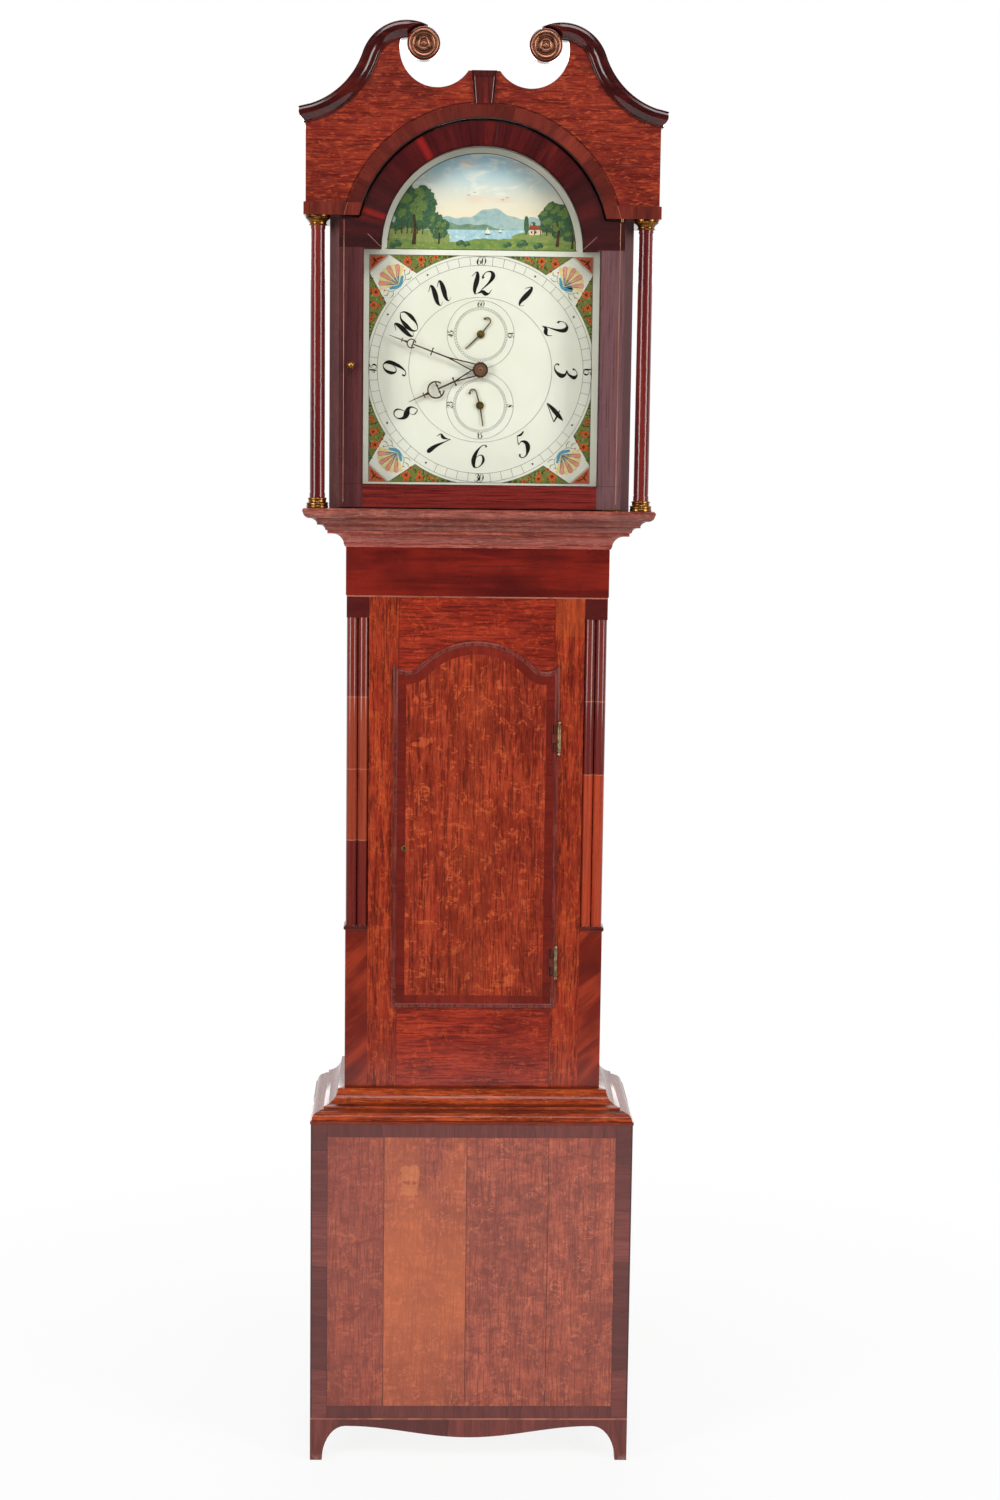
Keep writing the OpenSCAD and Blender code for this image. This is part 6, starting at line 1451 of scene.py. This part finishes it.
def tree(x, z, tall, wide, dark, light, count=13):
    """A leafy tree: many small crowns heaped on a trunk, lit from the upper left."""
    trunks.stroke([(x, z, wide * 0.10), (x + wide * 0.03, z + tall * 0.3, wide * 0.07),
                   (x - wide * 0.02, z + tall * 0.6, wide * 0.04)], None, 5, keep=in_arch)
    for k in range(count):
        a, r = grow.random() * 6.28, math.sqrt(grow.random())
        u, v = x + wide * 0.36 * r * math.cos(a), z + tall * 0.62 + tall * 0.30 * r * math.sin(a)
        size = wide * (0.16 + 0.10 * grow.random())
        dark.disc(u, v, size, size * 0.85, grow.random(), 22, in_arch, 0.14, k)
        if light and k % 2 == 0:
            u, v = u - size * 0.3, v + size * 0.35
            crowns.disc(u, v, size * 0.48, size * 0.34, grow.random(), 16, in_arch, 0.25, k)


half_circle = [(picture_r * math.cos(math.pi * i / 96), arch_up + picture_r * math.sin(math.pi * i / 96))
               for i in range(97)]
arch_sky = Coat("arch_sky", polish(sky, 0.3, 0.3), 1, arch_drop)
arch_sky.add([(picture_r, arch_base)] + half_circle + [(-picture_r, arch_base)])
far_hills = arch_coat("far_hills", 2, "#9db9bb", "#b3c6bd", "#88a9ae", 60)
near_hills = arch_coat("hills", 3, "#7f9a84", "#6a8a72", "#95aa80", 70)
water = arch_coat("lake", 4, "#b9d6dc", "#9cc3cf", "#e3ece4", 90)
banks = arch_coat("banks", 5, "#7f9154", "#93a05c", "#b8ad62", 110)
trees_back = arch_coat("far_trees", 5, "#4f6d4f", "#3c5a44", "#6c8355", 130)
trees = arch_coat("trees", 7, "#48694a", "#385a44", "#6d8a55", 170)
crowns = arch_coat("tree_lights", 8, "#6f8548", "#5d7a42", "#94a055", 200)
trunks = arch_coat("trunks", 8, "#5a4230", "#3f2d20")
meadow = arch_coat("meadow", 6, "#6c8a4c", "#86994f", "#c0a850", 80)
walls = arch_coat("walls", 8, "#efe0c4", "#d9c4a2")
roofs = arch_coat("roofs", 9, "#b3573a", "#8f4430")
sails = arch_coat("sails", 9, "#fbf6ea", "#ece2cc")
arch_ink = Coat("arch_lines", enamel("arch_line_paint", "#1d1813", "#2c251e"), 7, arch_drop)
land(far_hills, rolling(200), rolling(233, (7, 26, 1.0), (4, 11, 0.3), (1.2, 4, 2)))
land(near_hills, rolling(196), rolling(219, (6, 34, 3.4), (3, 14, 1.1), (1.0, 4.3, 0.2)))
land(water, rolling(190), rolling(212.5), -96, 100)
land(banks, rolling(184), lambda x: 217 - 0.0011 * (x + land_half) ** 2 + 1.2 * math.sin(x / 6),
     -land_half, -48)
land(banks, rolling(184), lambda x: 219 - 0.0016 * (land_half - x) ** 2 + 1.4 * math.sin(x / 7),
     45, land_half)
land(meadow, rolling(arch_base), rolling(197, (3.2, 31, 0.6), (1.1, 9, 2.0), (0.4, 2.3, 0)))
grow = random.Random(23)
for x in (-128, -119, -111, -104, -96, -88):
    tree(x, 206 - abs(x + 104) * 0.05, 26 + 7 * math.sin(x), 19, trees_back, False, 9)
for x in (78, 87, 96, 105, 115, 125):
    tree(x, 205 + abs(x - 100) * 0.06, 24 + 6 * math.sin(x * 2), 18, trees_back, False, 9)
for x, tall in ((-74, 26), (-67, 32), (-60, 23), (66, 28)):
    trees_back.disc(x, 206 + tall * 0.5, tall * 0.13, tall * 0.5, 0, 26, in_arch, 0.10, x)
for x, z, tall, wide, count in ((-101, 190, 88, 62, 34), (-64, 191, 42, 33, 17), (112, 189, 64, 52, 28),
                                (134, 186, 48, 36, 16)):
    tree(x, z, tall, wide, trees, True, count)
for x, z, wide in ((-32, 193, 9), (-22, 191, 7), (38, 191, 9), (60, 193, 12), (84, 190, 10), (-128, 190, 13)):
    for k in range(5):
        u, v = x + wide * 0.35 * math.cos(k * 1.3), z + wide * 0.22 * math.sin(k * 2.1)
        trees.disc(u, v, wide * 0.42, wide * 0.3, 0, 18, in_arch, 0.15, k)
    crowns.disc(x - wide * 0.2, z + wide * 0.2, wide * 0.3, wide * 0.16, 0, 14, in_arch, 0.2, x)
for coat, points in ((walls, ((70, 206), (84, 206), (84, 214), (70, 214))),
                     (walls, ((84, 206), (89, 207), (89, 213), (84, 214))),
                     (roofs, ((69, 213.5), (84.5, 213.5), (82, 220), (71.5, 220))),
                     (roofs, ((84.5, 213.5), (90, 212.6), (82, 220))),
                     (walls, ((73, 220), (75, 220), (75, 223), (73, 223))),
                     (trunks, ((73, 208.5), (75, 208.5), (75, 211.5), (73, 211.5))),
                     (trunks, ((79, 208.5), (81, 208.5), (81, 211.5), (79, 211.5)))):
    coat.add(points)
for x, z, size in ((8, 207, 9), (27, 209.5, 5.5)):
    sails.add([(x, z), (x, z + size), (x + size * 0.55, z + size * 0.12)])
    sails.add([(x - 0.5, z + size * 0.1), (x - 0.5, z + size * 0.85), (x - size * 0.35, z + size * 0.12)])
    trunks.add([(x - size * 0.45, z - 0.2), (x + size * 0.6, z - 0.2), (x + size * 0.4, z - 1.5),
                (x - size * 0.3, z - 1.5)])
for x, z in ((-20, 262), (-11, 266), (30, 256), (37, 259)):
    wings = ((-2.6, 0.8, 0.15), (-1.2, 1.2, 0.5), (0, 0, 0.35), (1.2, 1.2, 0.5), (2.6, 0.7, 0.15))
    arch_ink.stroke([(x + u, z + v, width) for u, v, width in wings], None, 4, 0.2)
for start, end in zip(half_circle, half_circle[1:]):
    arch_ink.line(start, end, 0.9)
arch_ink.line((-picture_r, arch_base), (picture_r, arch_base), 0.9)
for side in (-1, 1):
    arch_ink.line((side * picture_r, arch_base), (side * picture_r, arch_up), 0.75)
for coat in (olive, brick, pink, shell_cream, blue, leaf_dark, leaf_light, orange, maroon, arch_sky,
             far_hills, near_hills, water, banks, trees_back, meadow, trees, trunks, crowns, walls, roofs,
             sails, fine, ink, arch_ink):
    coat.finish_up()

# Hands: thin brass, pierced and filed by hand, gone dark brown with old lacquer. A coppery boss,
# with a brighter ring on it, holds the two long ones on their pipes. The small ones are olive.
hand_brass = old_brass("hand_brass", "#7c5638", "#44291a", 0.34).fix(Metallic=0.55)
tarnish = hand_brass.clouds(120, 4, 0.6).rise(0.35, 0.7)
reach = hand_brass.axis("X").reach(hand_brass.axis("Z") - dial_z)
metal = hand_brass.mix(tarnish, "#5f422d", "#382317")
metal = hand_brass.mix((reach < 0.0088) * 0.7, metal, "#966850")
metal = hand_brass.mix(abs(reach - 0.0030).fall(0.0004, 0.0010) * 0.6, metal, "#c9a58a")
hand_brass.give(Base_Color=metal)
dress("minute_hand hour_hand", hand_brass, 0.25, 40)
olive_brass = old_brass("small_hand_brass", "#8c7434", "#55401c", 0.32).fix(Metallic=0.6)
dress("seconds_hand calendar_hand", olive_brass, 0.15, 40)

# Movement: cast brass plates, held apart by turned pillars, carry the wheels, which were cut by hand
# and have gone brown with oil. Arbors, pinions, pallets and hammer are steel.
dress("movement_frame", old_brass("plate_brass", "#b08b48", "#6f5228", 0.32), 0.3, 40)
wheels = Finish("wheels_on_arbors", Metallic=1.0)
scratch = wheels.clouds(1100, 2)
metal = wheels.mix(wheels.clouds(160, 4, 0.6).rise(0.35, 0.7), "#bf9850", "#7d5c2c")
wheels.give(Base_Color=metal, Roughness=scratch * 0.2 + 0.2)
wheels.relief(scratch, 0.0001)
dress("going_great_wheel centre_wheel third_wheel escape_wheel minute_wheel hour_wheel calendar_wheel",
      wheels, 0.1, 35)
dress("strike_great_wheel strike_hoop_wheel strike_warning_wheel strike_fly",
      old_brass("wheel_brass", "#c29c52", "#7f5f2e", 0.28), 0.1, 35)
dress("pallet_anchor bell_hammer", worn_steel("turned_steel", "#9a9691", "#5a544f", 0.28), 0.2, 35)

# Bell: a bright cast bell with a turned mark round its waist, on an iron stand over the plates.
stand_top = dial_z + 0.03
bell = Finish("bell_metal", Metallic=1.0)
cloud = bell.clouds(60, 4, 0.6)
metal = bell.mix(cloud.rise(0.35, 0.7), "#c8ae7c", "#8d7447")
metal = bell.mix(bell.axis("Z") < stand_top, metal, "#57504a")
bell.give(Base_Color=metal, Roughness=cloud * 0.2 + 0.16)
bell.relief(bell.streaks((2, 2, 1500), 2), 0.00006)
dress("bell", bell, 0.2, 40)

# Pendulum, seen only with the trunk door open: a steel rod, and a thin brass lens over a lead core.
bob_z, bob_r = 0.7799, 0.075
pendulum = Finish("pendulum_metals", Metallic=1.0)
tarnish = pendulum.clouds(70, 4, 0.6)
scratch = pendulum.streaks((800, 800, 40), 2)
on_bob = pendulum.axis("X").reach(pendulum.axis("Z") - bob_z) < bob_r
rod = pendulum.mix(tarnish.rise(0.35, 0.7), "#8d8984", "#54493f")
bob = pendulum.mix(tarnish.rise(0.35, 0.7), "#c7a25a", "#80602f")
pendulum.give(Base_Color=pendulum.mix(on_bob, rod, bob), Roughness=scratch * 0.2 + 0.2)
pendulum.relief(tarnish, 0.0002)
dress("pendulum", pendulum, 0.2, 35)

# Weight and chains: one heavy lead-filled weight hangs from a pulley in the loop of an endless
# chain of steel wire links, which a small lead ring keeps taut.
weight = Finish("weight_iron", Metallic=0.6)
rust = weight.clouds(45, 5, 0.6)
pits = weight.clouds(420, 3, 0.6)
metal = weight.mix(rust.rise(0.35, 0.65), "#37332f", "#4f3524")
metal = weight.mix(pits.rise(0.58, 0.7) * 0.5, metal, "#6b4a30")
weight.give(Base_Color=metal, Roughness=rust * 0.3 + 0.38)
weight.relief(pits, 0.0005)
dress("drive_weight", weight, 0.3, 35)
lead = Finish("lead_ring", Metallic=0.8)
dull = lead.clouds(130, 4, 0.6)
lead.give(Base_Color=lead.mix(dull.rise(0.3, 0.7), "#6f7072", "#4a4b4d"), Roughness=dull * 0.3 + 0.4)
lead.relief(dull, 0.0005)
dress("counter_ring", lead, 0, 60)


def oval_link(centre, along_way, turn, wire=0.00085, long=0.0062, wide=0.0040, sides=6, steps=14):
    """One oval link of wire, lying along a way and turned about it."""
    along_way = Vector(along_way).normalized()
    side = along_way.cross(Vector((0, 1, 0)))
    side = side.normalized() if side.length > 0.01 else Vector((1, 0, 0))
    other = along_way.cross(side)
    flat = side * math.cos(turn) + other * math.sin(turn)
    over = along_way.cross(flat)
    verts, faces = [], []
    for i in range(steps):
        a = 2 * math.pi * i / steps
        straight = (long - wide) / 2
        u = wide / 2 * math.cos(a) + (straight if math.cos(a) > 0 else -straight)
        v = wide / 2 * math.sin(a)
        spot = Vector(centre) + along_way * u + flat * v
        out = (along_way * math.cos(a) + flat * math.sin(a)).normalized()
        for k in range(sides):
            b = 2 * math.pi * k / sides
            verts.append(tuple(spot + out * wire * math.cos(b) + over * wire * math.sin(b)))
    for i in range(steps):
        for k in range(sides):
            j, m = (i + 1) % steps, (k + 1) % sides
            faces.append((i * sides + k, j * sides + k, j * sides + m, i * sides + m))
    return verts, faces


def chain(points, pitch=0.0084):
    """Links along a line of points, every second one turned by a right angle."""
    links = []
    reach, number = 0.0, 0
    total = sum((Vector(b) - Vector(a)).length for a, b in zip(points, points[1:]))
    count = max(1, int(total / (pitch / 2)))
    step = total / count
    for a, b in zip(points, points[1:]):
        a, b = Vector(a), Vector(b)
        length = (b - a).length
        while reach < length:
            links.append(oval_link(a.lerp(b, reach / length), b - a, 0.4 + (number % 2) * math.pi / 2))
            reach += step
            number += 1
        reach -= length
    return joined(*links)


chain_steel = worn_steel("chain_steel", "#87827c", "#4c453f", 0.34)
low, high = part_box("weight_chain")
wire_r = 0.002
fall_x, fall_low, fall_high, chain_y = high[0] - wire_r, low[2], high[2], (low[1] + high[1]) / 2
falls = [chain([(side * fall_x, chain_y, fall_low), (side * fall_x, chain_y, fall_high)]) for side in (-1, 1)]
links = add_mesh("weight_chain_links", *joined(*falls), chain_steel, None, "steel", 60,
                 replaces=("weight_chain",))
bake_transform(links)
low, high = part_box("ring_chain")
top_x = high[0] - wire_r
ring_low, ring_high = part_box("counter_ring")
end_x, gather = (ring_high[0] - ring_low[0]) / 2 - 2 * wire_r, 0.007
falls = []
for side in (-1, 1):
    way = []
    for i in range(33):
        share = i / 32
        x = top_x - (top_x - end_x - gather) * share - gather * share ** 18
        way.append((side * x, chain_y, high[2] + (low[2] - high[2]) * share))
    falls.append(chain(way))
links = add_mesh("ring_chain_links", *joined(*falls), chain_steel, None, "steel", 60,
                 replaces=("ring_chain",))
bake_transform(links)
